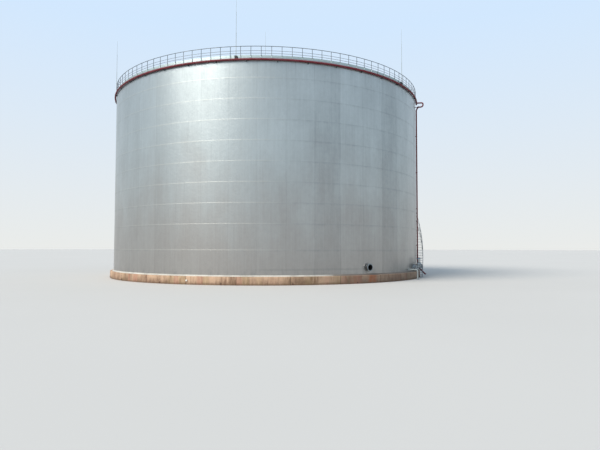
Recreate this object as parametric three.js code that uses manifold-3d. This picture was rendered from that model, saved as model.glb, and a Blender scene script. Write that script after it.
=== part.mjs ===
import * as THREE from 'three';
import { mergeVertices } from 'three/addons/utils/BufferGeometryUtils.js';
import Module from 'manifold-3d';

// Vertical storage tank: a round welded shell with a dome roof, on a concrete ring wall.
// Millimetres, +Z up. The origin is on the tank's axis at the underside of the foundation.
// The open manway faces -Y. Angles are polar angles about +Z, in degrees from +X.

const radians = THREE.MathUtils.degToRad;
const degrees = THREE.MathUtils.radToDeg;

// Driving dimensions of the tank
const TANK_RADIUS = 19000;
const SHELL_THICKNESS = 20;
const SHELL_TOP = 21760;
const FACET = 3;
const COARSE_FACET = 6;
const FACET_PHASE = 1.67;
const GAP = 0.3;
const GAP_ANGLE = spanAngle(GAP);
const SAME_ANGLE = 1e-6;

// Foundation and foot
const RING_WALL_HEIGHT = 800;
const RING_WALL_OUTER = TANK_RADIUS + 400;
const RING_WALL_INNER = TANK_RADIUS - 400;
const BOTTOM_THICKNESS = 12;
const BOTTOM_Z = RING_WALL_HEIGHT + GAP;
const SHELL_FOOT = BOTTOM_Z + BOTTOM_THICKNESS + GAP;
const SKIRT_WIDTH = 160;
const SKIRT_HEIGHT = 130;

// Shell segments, and the facet that holds the manway
const SEGMENT_START = FACET_PHASE - 27 * FACET;
const SEGMENT_ANGLE = 45;
const SEGMENT_COUNT = 7;
const MANWAY_FACET = FACET_PHASE - 31 * FACET;

// Rim and roof
const CURB_WIDTH = 100;
const CURB_HEIGHT = 80;
const CURB_TOP = SHELL_TOP + CURB_HEIGHT;
const ROOF_EDGE_RADIUS = TANK_RADIUS - 40;
const DOME_RADIUS = 57000;
const ROOF_THICKNESS = 20;
const ROOF_STEPS = 4;
const ROOF_GORES = 6;
const CROWN_RADIUS = 1000;
const CROWN_SIDES = 60;
const VENT_RADIUS = 130;
const VENT_HEIGHT = 420;
const VENT_HAT_RADIUS = 260;
const VENT_HAT_TOP_RADIUS = 60;
const VENT_HAT_HEIGHT = 120;

// Lightning rods: one beside the roof's middle and the rest round the rim
const ROD_RADIUS = 25;
const ROD_LENGTH = 6100;
const ROD_SPACING = 60;
const FIRST_ROD_ANGLE = -131.6;
const ROD_CLAMP_DEPTH = 6;
const ROD_FOOT_WIDTH = 280;
const ROD_FOOT_LOW = CURB_TOP - 200;
const ROD_FOOT_HIGH = CURB_TOP + 80;
const CENTRE_ROD_LENGTH = 7360;
const CENTRE_FITTING_OFFSET = 470;
const CENTRE_ROD_ANGLE = 144.3;

// Rim railing, open at the head of the stair
const STAIR_HEAD_POST = FACET_PHASE + 5 * FACET;
const FIRST_RAIL_POST = STAIR_HEAD_POST + FACET;
const RAIL_POST = 50;
const HALF_POST_ANGLE = spanAngle(RAIL_POST / 2);
const RAIL_DEPTH = 40;
const RAIL_FOOT = SHELL_TOP - 60;
const RAIL_TOP = CURB_TOP + 1000;
const RAIL_BAR = 50;
const RAIL_MID = CURB_TOP + 550;
const RAIL_MID_BAR = 40;
const RAIL_SECTIONS = 6;
const RAIL_POST_STEP = 6;

// Cooling water: two half rings below the rim, each fed by a riser that loops out to it
const RING_PIPE_RADIUS = 100;
const RING_PIPE_OFFSET = 150;
const RING_PIPE_Z = 21500;
const RING_STARTS = [140.9, -39.1];
const RING_ANGLE = 172;
const RING_BRACKET_STEP = 9;
const RING_BRACKET_ANGLE = -128.6;
const RING_BRACKET_MARGIN = 1;
const RING_BRACKET_REACH = 100;
const RING_BRACKET_WIDTH = 60;
const RING_BRACKET_HEIGHT = 50;
const RING_BRACKET_DROP = 30;
const RISER_ANGLES = [-49, 131];
const RISER_RADIUS = 84;
const RISER_OFFSET = 122;
const RISER_END_Z = 330;
const RISER_SLANT_Z = 1260;
const RISER_BEND_Z = 20580;
const RISER_FLANGE = 24;
const RISER_FLANGE_RADIUS = 139;
const RISER_BRACKET = 70;
const RISER_BRACKETS = [3800, 8300, 12800, 17300];
const LOOP_REACH = 950;
const LOOP_LOW_Z = 20980;
const LOOP_BRACKET = 60;
const LOOP_BRACKET_REACH = 300;
const LOOP_FLANGE = [200, 250];
const LOOP_FLANGE_RADIUS = 134;
const PIPE_CLEARANCE = 30;

// Manway, open with its cover taken away
const MANWAY_ANGLE = -90;
const MANWAY_Z = RING_WALL_HEIGHT + 760;
const MANWAY_SIDES = 24;
const MANWAY_RADIUS = 293;
const MANWAY_WALL = 12;
const MANWAY_ROOM_RADIUS = MANWAY_RADIUS + MANWAY_WALL + 2 * GAP;
const MANWAY_INSIDE = 60;
const MANWAY_REACH = 300;
const MANWAY_FLANGE_RADIUS = 385;
const MANWAY_FLANGE = 28;
const MANWAY_PAD_RADIUS = 600;
const PAD_THICKNESS = 12;
const INSERT_TOP = RING_WALL_HEIGHT + 1500;
const CUTTER_REACH = 400;

// Product nozzles, valves and drain
const NOZZLE_INSIDE = 60;
const PRODUCT_ANGLES = [-59.4, -56.6];
const PRODUCT_Z = RING_WALL_HEIGHT + 560;
const PRODUCT_RADIUS = 162;
const PRODUCT_REACH = 320;
const PRODUCT_FLANGE_RADIUS = 230;
const PRODUCT_FLANGE = 32;
const PRODUCT_PAD_RADIUS = 308;
const PRODUCT_PAD = [2, 14];
const VALVE_LENGTH = 500;
const VALVE_BODY = { low: -200, high: 240, lowRadius: 142, highRadius: 190 };
const VALVE_COLLAR = { low: 230, high: 270, lowRadius: 228, highRadius: 228 };
const VALVE_BONNET = { low: 260, high: 400, lowRadius: 190, highRadius: 110 };
const VALVE_GLAND = { low: 390, high: 470, lowRadius: 100, highRadius: 90 };
const YOKE_CAP = { low: 860, high: 900, lowRadius: 105, highRadius: 105 };
const YOKE_NECK = { low: 860, high: 928, lowRadius: 45, highRadius: 40 };
const VALVE_STEM = { low: 460, high: 1130, lowRadius: 20, highRadius: 20 };
const YOKE_BAR_WIDTH = 50;
const YOKE_BAR_THICKNESS = 24;
const YOKE_BAR_OFFSET = 75;
const HANDWHEEL_RADIUS = 210;
const HANDWHEEL_RIM = 16;
const HANDWHEEL_Z = 940;
const HANDWHEEL_SPOKES = [0, 60, 120];
const SPOKE_WIDTH = 22;
const SPOKE_THICKNESS = 14;
const HUB_RADIUS = 48;
const HUB = [-11, 22];
const SMALL_ANGLE = -61.3;
const SMALL_Z = RING_WALL_HEIGHT + 480;
const SMALL_RADIUS = 57;
const SMALL_REACH = 260;
const SMALL_FLANGE_RADIUS = 110;
const SMALL_FLANGE = 20;
const SMALL_VALVE_LENGTH = 240;
const SMALL_VALVE_BODY = { low: -80, high: 110, lowRadius: 75, highRadius: 75 };
const SMALL_VALVE_COLLAR = { low: 100, high: 130, lowRadius: 95, highRadius: 95 };
const SMALL_VALVE_STEM = { low: 120, high: 320, lowRadius: 30, highRadius: 30 };
const SMALL_VALVE_WHEEL = { low: 310, high: 330, lowRadius: 110, highRadius: 110 };
const DRAIN_ANGLE = -66.1;
const DRAIN_Z = RING_WALL_HEIGHT + 300;
const DRAIN_RADIUS = 84;
const DRAIN_REACH = 1040;
const DRAIN_BEND = 160;
const DRAIN_MITRE = 45;

// Stair wound round the shell
const STAIR_FOOT_ANGLE = -54.3;
const STAIR_RISERS = 109;
const STAIR_RISE = CURB_TOP / STAIR_RISERS;
const STAIR_RUN_ANGLE = 0.618;
const STAIR_SLOPE = STAIR_RISE / STAIR_RUN_ANGLE;
const LANDING_ANGLE = 2.9;
const LANDING_RISERS = [46, 78];
const STAIR_OUTER = TANK_RADIUS + 750;
const TREAD_DEPTH = 250;
const TREAD_HALF_ANGLE = spanAngle(TREAD_DEPTH / 2);
const TREAD_THICKNESS = 40;
const STRINGER_THICKNESS = 12;
const STRINGER_DROP = 130;
const STRINGER_RISE = 50;
const HANDRAIL_HEIGHT = 1000;
const HANDRAIL_BAR = 40;
const HANDRAIL_POST_STEP = 4;
const HANDRAIL_FOOT = -100;
const STRINGER_STEP = 1.5;
const LANDING_POST_INSET = 0.25;
const LANDING_POST = { inner: STAIR_OUTER - 50, outer: STAIR_OUTER - 10, width: 40 };
const LANDING_RAIL = { inner: STAIR_OUTER - 45, outer: STAIR_OUTER - 15 };
const LANDING_BRACKET = { outer: STAIR_OUTER - 200, width: 60, drop: 200 };
const LANDING_OVERLAP = 10;
const INTO_SHELL = 100;
const ROOM_DEPTH = 2000;

// Materials
const paintedShell = new THREE.MeshStandardMaterial({ color: 0xa4a9ab, roughness: 0.5, metalness: 0.35 });
const paintedRoof = new THREE.MeshStandardMaterial({ color: 0xb9c6c4, roughness: 0.55, metalness: 0.2 });
const railSteel = new THREE.MeshStandardMaterial({ color: 0x5f7079, roughness: 0.5, metalness: 0.4 });
const redPaint = new THREE.MeshStandardMaterial({ color: 0x7e1f26, roughness: 0.5, metalness: 0.1 });
const greyPaint = new THREE.MeshStandardMaterial({ color: 0x9aa6ab, roughness: 0.45, metalness: 0.35 });
const stairPaint = new THREE.MeshStandardMaterial({ color: 0x6b777c, roughness: 0.6, metalness: 0.3 });
const concrete = new THREE.MeshStandardMaterial({ color: 0xa8896b, roughness: 0.9, metalness: 0 });
const gravel = new THREE.MeshStandardMaterial({ color: 0x8f8370, roughness: 1, metalness: 0 });
const skirtPaint = new THREE.MeshStandardMaterial({ color: 0xd4d6d4, roughness: 0.5, metalness: 0.2 });
const bluePaint = new THREE.MeshStandardMaterial({ color: 0x2f7fa6, roughness: 0.4, metalness: 0.1 });
const darkPaint = new THREE.MeshStandardMaterial({ color: 0x3a4648, roughness: 0.5, metalness: 0.3 });

const wasm = await Module();
wasm.setup();

// Solid helpers

// The angle that a length takes up along the shell.
function spanAngle(length) {
  return degrees(length / TANK_RADIUS);
}

// A point at a radius, polar angle and height.
function polar(radius, angle, z) {
  return new THREE.Vector3(radius * Math.cos(radians(angle)), radius * Math.sin(radians(angle)), z);
}

// The distance from the axis to the faceted ring of a vertex radius, in one direction.
function facetRadius(radius, angle, step = FACET, phase = FACET_PHASE) {
  const turned = (((angle - phase) % step) + step) % step;
  return radius * Math.cos(radians(step / 2)) / Math.cos(radians(turned - step / 2));
}

function geometryOf(positions, indices) {
  const geometry = new THREE.BufferGeometry();
  geometry.setAttribute('position', new THREE.BufferAttribute(new Float32Array(positions), 3));
  geometry.setIndex(indices);
  return geometry;
}

// A closed solid through a row of like outlines. Each outline turns about the way of travel.
// The flat shape says how the end faces are cut into triangles; a closed row has none.
function loft(outlines, flatShape, closed = false) {
  const count = outlines[0].length;
  const positions = outlines.flat().flatMap((point) => [point.x, point.y, point.z]);
  const indices = [];
  const spans = closed ? outlines.length : outlines.length - 1;
  for (let span = 0; span < spans; span++) {
    const here = span * count;
    const next = ((span + 1) % outlines.length) * count;
    for (let corner = 0; corner < count; corner++) {
      const after = (corner + 1) % count;
      indices.push(here + corner, here + after, next + after);
      indices.push(here + corner, next + after, next + corner);
    }
  }
  if (!closed) {
    const last = (outlines.length - 1) * count;
    for (const [a, b, c] of THREE.ShapeUtils.triangulateShape(flatShape, [])) {
      indices.push(a, c, b);
      indices.push(last + a, last + b, last + c);
    }
  }
  return geometryOf(positions, indices);
}

// The polar angles from one to another in equal steps.
function anglesBetween(from, to, step) {
  const count = Math.round((to - from) / step);
  return Array.from({ length: count + 1 }, (_, index) => from + (to - from) * index / count);
}

// A profile of [radius, z] corners carried round the axis. A part turn ends short of its
// neighbours by half the gap, square to the cut.
function revolve(profile, from, to, step = FACET) {
  const full = to - from >= 360;
  const angles = anglesBetween(from, to, step);
  if (full) angles.pop();
  const corners = [...profile].reverse();
  const outlines = angles.map((angle, index) => {
    const side = full ? 0 : (index === 0) - (index === angles.length - 1);
    const shift = polar(side * GAP / 2, angle + 90, 0);
    return corners.map(([radius, z]) => polar(radius, angle, z).add(shift));
  });
  const flatShape = corners.map(([radius, z]) => new THREE.Vector2(-radius, z));
  return loft(outlines, flatShape, full);
}

function rectangleProfile(inner, outer, low, high) {
  return [[inner, low], [outer, low], [outer, high], [inner, high]];
}

// A round bar or pipe along corner points in one vertical plane, mitred at each corner.
function pipe(points, radius, sides, sideways) {
  const directions = points.slice(1).map((point, index) => point.clone().sub(points[index]).normalize());
  const circle = Array.from({ length: sides }, (_, index) => {
    const turn = (index + 0.5) * 2 * Math.PI / sides;
    return new THREE.Vector2(radius * Math.cos(turn), radius * Math.sin(turn));
  });
  const outlines = points.map((point, index) => {
    const before = directions[Math.max(index - 1, 0)];
    const after = directions[Math.min(index, directions.length - 1)];
    const mitre = before.clone().add(after).normalize();
    const upward = before.clone().cross(sideways);
    return circle.map((corner) => {
      const offset = sideways.clone().multiplyScalar(corner.x);
      offset.addScaledVector(upward, corner.y);
      offset.addScaledVector(before, -offset.dot(mitre) / before.dot(mitre));
      return point.clone().add(offset);
    });
  });
  return loft(outlines, circle);
}

// Moves a piece made with +X outward to a polar angle.
function turnTo(geometry, angle) {
  return geometry.rotateZ(radians(angle));
}

// A box from one radius to another at a polar angle.
function radialBox(inner, outer, width, low, high, angle) {
  const box = new THREE.BoxGeometry(outer - inner, width, high - low);
  box.translate((inner + outer) / 2, 0, (low + high) / 2);
  return turnTo(box, angle);
}

// A cylinder whose axis runs outward at a polar angle.
function radialCylinder(inner, outer, radius, z, angle, sides) {
  const cylinder = new THREE.CylinderGeometry(radius, radius, outer - inner, sides);
  cylinder.rotateZ(Math.PI / 2);
  cylinder.translate((inner + outer) / 2, 0, z);
  return turnTo(cylinder, angle);
}

// An upright cylinder or cone at a radius and polar angle.
function uprightCylinder(lowRadius, highRadius, low, high, distance, angle, sides) {
  const cylinder = new THREE.CylinderGeometry(highRadius, lowRadius, high - low, sides);
  cylinder.rotateX(Math.PI / 2);
  cylinder.translate(distance, 0, (low + high) / 2);
  return turnTo(cylinder, angle);
}

// A turned part of a valve, its heights measured from the middle of the pipe.
function turnedPart(part, pipeZ, distance, angle, sides) {
  const { low, high, lowRadius, highRadius } = part;
  return uprightCylinder(lowRadius, highRadius, pipeZ + low, pipeZ + high, distance, angle, sides);
}

function solidOf(geometry) {
  const bare = geometry.clone();
  for (const name of Object.keys(bare.attributes)) {
    if (name !== 'position') bare.deleteAttribute(name);
  }
  const merged = mergeVertices(bare, 1e-3);
  return new wasm.Manifold(new wasm.Mesh({
    numProp: 3,
    vertProperties: new Float32Array(merged.attributes.position.array),
    triVerts: new Uint32Array(merged.index.array),
  }));
}

function geometryFrom(solid) {
  const mesh = solid.getMesh();
  return geometryOf(Array.from(mesh.vertProperties), Array.from(mesh.triVerts));
}

function join(pieces) {
  return geometryFrom(pieces.map(solidOf).reduce((whole, piece) => whole.add(piece)));
}

function cut(geometry, tools) {
  return geometryFrom(tools.map(solidOf).reduce((whole, tool) => whole.subtract(tool), solidOf(geometry)));
}

function common(geometry, tool) {
  return geometryFrom(solidOf(geometry).intersect(solidOf(tool)));
}

const tank = new THREE.Group();

function addPiece(name, geometry, material) {
  const mesh = new THREE.Mesh(geometry, material);
  mesh.name = name;
  tank.add(mesh);
}

// Foundation: a concrete ring wall round a packed fill
function addFoundation() {
  const wall = rectangleProfile(RING_WALL_INNER, RING_WALL_OUTER, 0, RING_WALL_HEIGHT);
  addPiece('ring_wall', revolve(wall, FACET_PHASE, FACET_PHASE + 360, COARSE_FACET), concrete);
  addPiece('foundation_fill', disc(RING_WALL_INNER - GAP, 0, RING_WALL_HEIGHT, 360 / COARSE_FACET), gravel);
}

// A round plate on the axis, its corners in line with the shell's facets.
function disc(radius, low, high, sides) {
  return uprightCylinder(radius, radius, low, high, 0, FACET_PHASE, sides);
}

// The flat steel bottom and the sloped seal over its edge
function addBottom() {
  const bottom = disc(TANK_RADIUS, BOTTOM_Z, BOTTOM_Z + BOTTOM_THICKNESS, 360 / FACET);
  addPiece('bottom_plate', bottom, paintedShell);

  const inner = TANK_RADIUS + GAP;
  const skirt = [[inner, BOTTOM_Z], [TANK_RADIUS + SKIRT_WIDTH, BOTTOM_Z], [inner, BOTTOM_Z + SKIRT_HEIGHT]];
  addPiece('seal_skirt', revolve(skirt, FACET_PHASE, FACET_PHASE + 360), skirtPaint);
}

// Shell: upright segments, the one by the manway split beside and over it
function shellPiece(from, to, low = SHELL_FOOT, high = SHELL_TOP) {
  const profile = rectangleProfile(TANK_RADIUS - SHELL_THICKNESS, TANK_RADIUS, low, high);
  return revolve(profile, from, to);
}

function addShell() {
  for (let index = 0; index < SEGMENT_COUNT; index++) {
    const from = SEGMENT_START + index * SEGMENT_ANGLE;
    addPiece(`shell_segment_${index + 1}`, shellPiece(from, from + SEGMENT_ANGLE), paintedShell);
  }
  const lastEnd = SEGMENT_START + SEGMENT_COUNT * SEGMENT_ANGLE - 360;
  addPiece('shell_segment_8', shellPiece(lastEnd, MANWAY_FACET), paintedShell);
  addPiece('shell_segment_9', shellPiece(MANWAY_FACET + FACET, SEGMENT_START), paintedShell);

  const over = shellPiece(MANWAY_FACET, MANWAY_FACET + FACET, INSERT_TOP + GAP, SHELL_TOP);
  addPiece('shell_strip_over_manway', over, paintedShell);
  const insert = shellPiece(MANWAY_FACET, MANWAY_FACET + FACET, SHELL_FOOT, INSERT_TOP);
  const hole = manwayCylinder(TANK_RADIUS - CUTTER_REACH, TANK_RADIUS + CUTTER_REACH, MANWAY_ROOM_RADIUS);
  addPiece('manway_insert_plate', cut(insert, [hole]), paintedShell);
}

// Manway: a short open neck with a flange, and the plate round it on the shell
function manwayCylinder(inner, outer, radius) {
  return radialCylinder(inner, outer, radius, MANWAY_Z, MANWAY_ANGLE, MANWAY_SIDES);
}

function addManway() {
  const outer = TANK_RADIUS + MANWAY_REACH;
  const neck = manwayCylinder(TANK_RADIUS - MANWAY_INSIDE, outer, MANWAY_RADIUS + MANWAY_WALL);
  const flange = manwayCylinder(outer - MANWAY_FLANGE, outer, MANWAY_FLANGE_RADIUS);
  const bore = manwayCylinder(TANK_RADIUS - CUTTER_REACH, outer + CUTTER_REACH, MANWAY_RADIUS);
  addPiece('manway_neck', cut(join([neck, flange]), [bore]), greyPaint);

  const inner = TANK_RADIUS + GAP;
  const band = revolve(
    rectangleProfile(inner, inner + PAD_THICKNESS, SHELL_FOOT, MANWAY_Z + 2 * MANWAY_PAD_RADIUS),
    MANWAY_FACET - 2 * FACET, MANWAY_FACET + 3 * FACET);
  const plate = common(band, manwayCylinder(inner - CUTTER_REACH, inner + CUTTER_REACH, MANWAY_PAD_RADIUS));
  const room = manwayCylinder(inner - CUTTER_REACH, inner + CUTTER_REACH, MANWAY_ROOM_RADIUS);
  addPiece('manway_pad', cut(plate, [room]), paintedShell);
}

// Rim: a curb bar on the shell, the dome roof in gores, and the crown plate
function domeZ(radius) {
  const base = Math.sqrt(DOME_RADIUS ** 2 - ROOF_EDGE_RADIUS ** 2);
  return CURB_TOP + GAP + Math.sqrt(DOME_RADIUS ** 2 - radius ** 2) - base;
}

function addRoof() {
  const curb = rectangleProfile(TANK_RADIUS - CURB_WIDTH, TANK_RADIUS, SHELL_TOP + GAP, CURB_TOP);
  addPiece('curb_bar', revolve(curb, FACET_PHASE, FACET_PHASE + 360), paintedShell);

  const radii = Array.from({ length: ROOF_STEPS + 1 }, (_, step) => {
    const inner = CROWN_RADIUS + GAP;
    return ROOF_EDGE_RADIUS + (inner - ROOF_EDGE_RADIUS) * step / ROOF_STEPS;
  });
  const upper = radii.map((radius) => [radius, domeZ(radius) + ROOF_THICKNESS]);
  const lower = radii.map((radius) => [radius, domeZ(radius)]).reverse();
  const goreAngle = 360 / ROOF_GORES;
  for (let index = 0; index < ROOF_GORES; index++) {
    const from = FACET_PHASE + index * goreAngle;
    const gore = revolve([...upper, ...lower], from, from + goreAngle, COARSE_FACET);
    addPiece(`roof_gore_${index + 1}`, gore, paintedRoof);
  }

  const crownZ = domeZ(CROWN_RADIUS);
  const crown = disc(CROWN_RADIUS, crownZ, crownZ + ROOF_THICKNESS, CROWN_SIDES);
  const distance = CENTRE_FITTING_OFFSET;
  const fitting = (lowRadius, highRadius, low, high, side, sides) => uprightCylinder(
    lowRadius, highRadius, crownZ + low, crownZ + high, distance, CENTRE_ROD_ANGLE + side, sides);
  const hatFoot = VENT_HEIGHT - ROOF_THICKNESS;
  addPiece('roof_crown', join([
    crown,
    fitting(VENT_RADIUS, VENT_RADIUS, 0, VENT_HEIGHT, 180, 12),
    fitting(VENT_HAT_RADIUS, VENT_HAT_TOP_RADIUS, hatFoot, hatFoot + VENT_HAT_HEIGHT, 180, 12),
    fitting(ROD_RADIUS, ROD_RADIUS / 2, 0, CENTRE_ROD_LENGTH, 0, 6),
  ]), paintedRoof);
}

// Level bars with upright posts, fused where they cross, along a line of polar angles. Each
// post is [angle, widened]; the heights of the bars are [low, high] pairs above the line.
function railSolid({ from, to, posts, foot, bars, inner, outer, lineZ }) {
  const edges = [from];
  const isPost = [];
  for (const post of posts) {
    const start = Math.max(from, post - HALF_POST_ANGLE);
    if (start > edges[edges.length - 1] + SAME_ANGLE) {
      edges.push(start);
      isPost.push(false);
    }
    edges.push(Math.min(to, post + HALF_POST_ANGLE));
    isPost.push(true);
  }
  if (to > edges[edges.length - 1] + SAME_ANGLE) {
    edges.push(to);
    isPost.push(false);
  }
  const levels = [foot, ...bars.flat()];
  const filled = (column, row) => isPost[column] || row % 2 === 1;
  return latticeSolid(edges, levels, inner, outer, lineZ, filled);
}

// The closed faces of a lattice one bar thick. The columns lie between polar angles and the
// rows between heights above a line; filled(column, row) says where there is steel.
function latticeSolid(edges, levels, inner, outer, lineZ, filled) {
  const columns = edges.length - 1;
  const rows = levels.length - 1;
  const inside = (column, row) => column >= 0 && column < columns && row >= 0 && row < rows;
  const used = (column, row) => inside(column, row) && filled(column, row);
  const positions = [];
  const indices = [];
  const known = new Map();
  const corner = (radius, column, row) => {
    const key = `${radius}/${column}/${row}`;
    if (!known.has(key)) {
      const point = polar(radius, edges[column], lineZ(edges[column]) + levels[row]);
      known.set(key, positions.length / 3);
      positions.push(point.x, point.y, point.z);
    }
    return known.get(key);
  };
  const quad = (a, b, c, d) => indices.push(a, b, c, a, c, d);
  const square = [[0, 0], [1, 0], [1, 1], [0, 1]];
  for (let column = 0; column < columns; column++) {
    for (let row = 0; row < rows; row++) {
      if (!used(column, row)) continue;
      const [a, b, c, d] = square.map(([i, j]) => corner(outer, column + i, row + j));
      const [e, f, g, h] = square.map(([i, j]) => corner(inner, column + i, row + j));
      quad(a, b, c, d);
      quad(f, e, h, g);
      if (!used(column, row - 1)) quad(e, f, b, a);
      if (!used(column, row + 1)) quad(d, c, g, h);
      if (!used(column - 1, row)) quad(e, a, d, h);
      if (!used(column + 1, row)) quad(b, f, g, c);
    }
  }
  return geometryOf(positions, indices);
}

// Rim railing: posts against the curb with a top and a middle rail
function addRimRailing() {
  const sectionAngle = 360 / RAIL_SECTIONS;
  const halfBay = RAIL_POST_STEP / 2;
  const halfGap = GAP_ANGLE / 2;
  const inner = TANK_RADIUS + GAP;
  const outer = inner + RAIL_DEPTH;
  for (let index = 0; index < RAIL_SECTIONS; index++) {
    const firstPost = FIRST_RAIL_POST + index * sectionAngle;
    const end = firstPost + sectionAngle - halfBay;
    const posts = anglesBetween(firstPost, firstPost + sectionAngle - RAIL_POST_STEP, RAIL_POST_STEP);
    const last = index === RAIL_SECTIONS - 1;
    if (last) posts.push(end);
    const railing = railSolid({
      from: index === 0 ? firstPost - HALF_POST_ANGLE : firstPost - halfBay + halfGap,
      to: last ? end + HALF_POST_ANGLE : end - halfGap,
      posts,
      foot: RAIL_FOOT,
      bars: [[RAIL_MID - RAIL_MID_BAR, RAIL_MID], [RAIL_TOP - RAIL_BAR, RAIL_TOP]],
      inner,
      outer,
      lineZ: () => 0,
    });
    const turns = Math.floor((FIRST_ROD_ANGLE + 360 - firstPost) / ROD_SPACING);
    const rodAngle = FIRST_ROD_ANGLE + 360 - turns * ROD_SPACING;
    addPiece(`rim_railing_${index + 1}`, join([railing, ...rimRod(rodAngle, outer)]), railSteel);
  }
}

// A lightning rod clamped to the outside of the rails, with a foot bracket on the rim.
function rimRod(angle, railOuter) {
  const railFace = facetRadius(railOuter, angle, RAIL_POST_STEP, FIRST_RAIL_POST);
  const distance = railFace + ROD_RADIUS - ROD_CLAMP_DEPTH;
  const rimFace = facetRadius(TANK_RADIUS, angle) + GAP;
  return [
    uprightCylinder(ROD_RADIUS, ROD_RADIUS / 2, ROD_FOOT_LOW, CURB_TOP + ROD_LENGTH, distance, angle, 6),
    radialBox(rimFace + 1, distance + 2 * ROD_RADIUS, ROD_FOOT_WIDTH, ROD_FOOT_LOW, ROD_FOOT_HIGH, angle),
  ];
}

// The closed bar of one half ring, wider by a margin where it is used to cut its riser.
function halfRing(index, margin = 0) {
  const from = RING_STARTS[index];
  const centre = TANK_RADIUS + RING_PIPE_OFFSET;
  const radius = RING_PIPE_RADIUS + margin;
  const profile = Array.from({ length: 6 }, (_, side) => {
    const turn = (side + 0.5) * Math.PI / 3;
    return [centre + radius * Math.cos(turn), RING_PIPE_Z + radius * Math.sin(turn)];
  });
  return revolve(profile, from, from + RING_ANGLE, COARSE_FACET);
}

// Cooling water ring below the rim: a half ring with capped ends, on brackets
function addRingPipe(index) {
  const pieces = [halfRing(index)];
  const reach = TANK_RADIUS + RING_PIPE_OFFSET + RING_BRACKET_REACH;
  const low = RING_PIPE_Z - RING_PIPE_RADIUS - RING_BRACKET_DROP;
  for (let turn = 0; turn < 360; turn += RING_BRACKET_STEP) {
    const angle = RING_BRACKET_ANGLE + turn;
    const past = (((angle - RING_STARTS[index]) % 360) + 360) % 360;
    if (past < RING_BRACKET_MARGIN || past > RING_ANGLE - RING_BRACKET_MARGIN) continue;
    const inner = facetRadius(TANK_RADIUS, angle) + GAP;
    pieces.push(radialBox(inner, reach, RING_BRACKET_WIDTH, low, low + RING_BRACKET_HEIGHT, angle));
  }
  addPiece(`cooling_ring_pipe_${index + 1}`, join(pieces), redPaint);
}

// Riser: up the shell, out and over in a loop to its half ring, slanting out to the ground below
function addRiser(index) {
  const angle = RISER_ANGLES[index];
  const riser = TANK_RADIUS + RISER_OFFSET;
  const loop = TANK_RADIUS + LOOP_REACH;
  const foot = riser + RISER_SLANT_Z - RISER_END_Z;
  const route = [
    [foot, RISER_END_Z], [riser, RISER_SLANT_Z], [riser, RISER_BEND_Z], [riser + 150, LOOP_LOW_Z - 80],
    [riser + 260, LOOP_LOW_Z], [loop - 230, LOOP_LOW_Z], [loop - 60, LOOP_LOW_Z + 100],
    [loop, RING_PIPE_Z - 250], [loop - 20, RING_PIPE_Z - 90], [loop - 140, RING_PIPE_Z],
    [TANK_RADIUS + RING_PIPE_OFFSET, RING_PIPE_Z],
  ].map(([radius, z]) => polar(radius, angle, z));
  const sideways = polar(1, angle + 90, 0);
  const slope = new THREE.Vector3().subVectors(route[0], route[1]).normalize();
  const flange = [route[0].clone(), route[0].clone().addScaledVector(slope, RISER_FLANGE)];
  const behind = TANK_RADIUS - INTO_SHELL;
  const bracketEnd = riser + LOOP_BRACKET_REACH;
  const bracketZ = LOOP_LOW_Z - LOOP_BRACKET / 2;
  const [flangeStart, flangeEnd] = LOOP_FLANGE;
  const pieces = [
    pipe(route, RISER_RADIUS, 8, sideways),
    pipe(flange, RISER_FLANGE_RADIUS, 12, sideways),
    ...RISER_BRACKETS.map((z) => radialBox(behind, riser, RISER_BRACKET, z, z + RISER_BRACKET, angle)),
    radialBox(behind, bracketEnd, LOOP_BRACKET, bracketZ, bracketZ + LOOP_BRACKET, angle),
    radialCylinder(riser + flangeStart, riser + flangeEnd, LOOP_FLANGE_RADIUS, LOOP_LOW_Z, angle, 12),
  ];
  const whole = cut(join(pieces), [shellRoom(angle, 6), halfRing(index, 2 * GAP)]);
  addPiece(`riser_pipe_${index + 1}`, whole, redPaint);
}

// The space inside the shell's outside face, with the gap round it, near one direction.
function shellRoom(angle, spread) {
  const turns = Math.round((angle - FACET_PHASE) / FACET);
  const middle = FACET_PHASE + turns * FACET;
  const profile = rectangleProfile(TANK_RADIUS - ROOM_DEPTH, TANK_RADIUS + GAP, 0, RAIL_TOP);
  return revolve(profile, middle - spread, middle + spread);
}

// Product nozzles with their rising-stem gate valves
function addProductNozzle(index, angle, wheelPaint) {
  const name = `product_nozzle_${index + 1}`;
  const reach = TANK_RADIUS + PRODUCT_REACH;
  const [padInner, padOuter] = PRODUCT_PAD.map((offset) => TANK_RADIUS + offset);
  const tube = radialCylinder(TANK_RADIUS - NOZZLE_INSIDE, reach, PRODUCT_RADIUS, PRODUCT_Z, angle, 16);
  const flange = radialCylinder(reach - PRODUCT_FLANGE, reach, PRODUCT_FLANGE_RADIUS, PRODUCT_Z, angle, 16);
  const plate = radialCylinder(padInner, padOuter, PRODUCT_PAD_RADIUS, PRODUCT_Z, angle, 16);
  addPiece(name, cut(join([tube, flange, plate]), [shellRoom(angle, 6)]), greyPaint);
  addPiece(`gate_valve_${index + 1}`, gateValve(reach + GAP, angle), greyPaint);
  addPiece(`handwheel_${index + 1}`, handwheel(reach + GAP + VALVE_LENGTH / 2, angle), wheelPaint);
}

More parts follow.
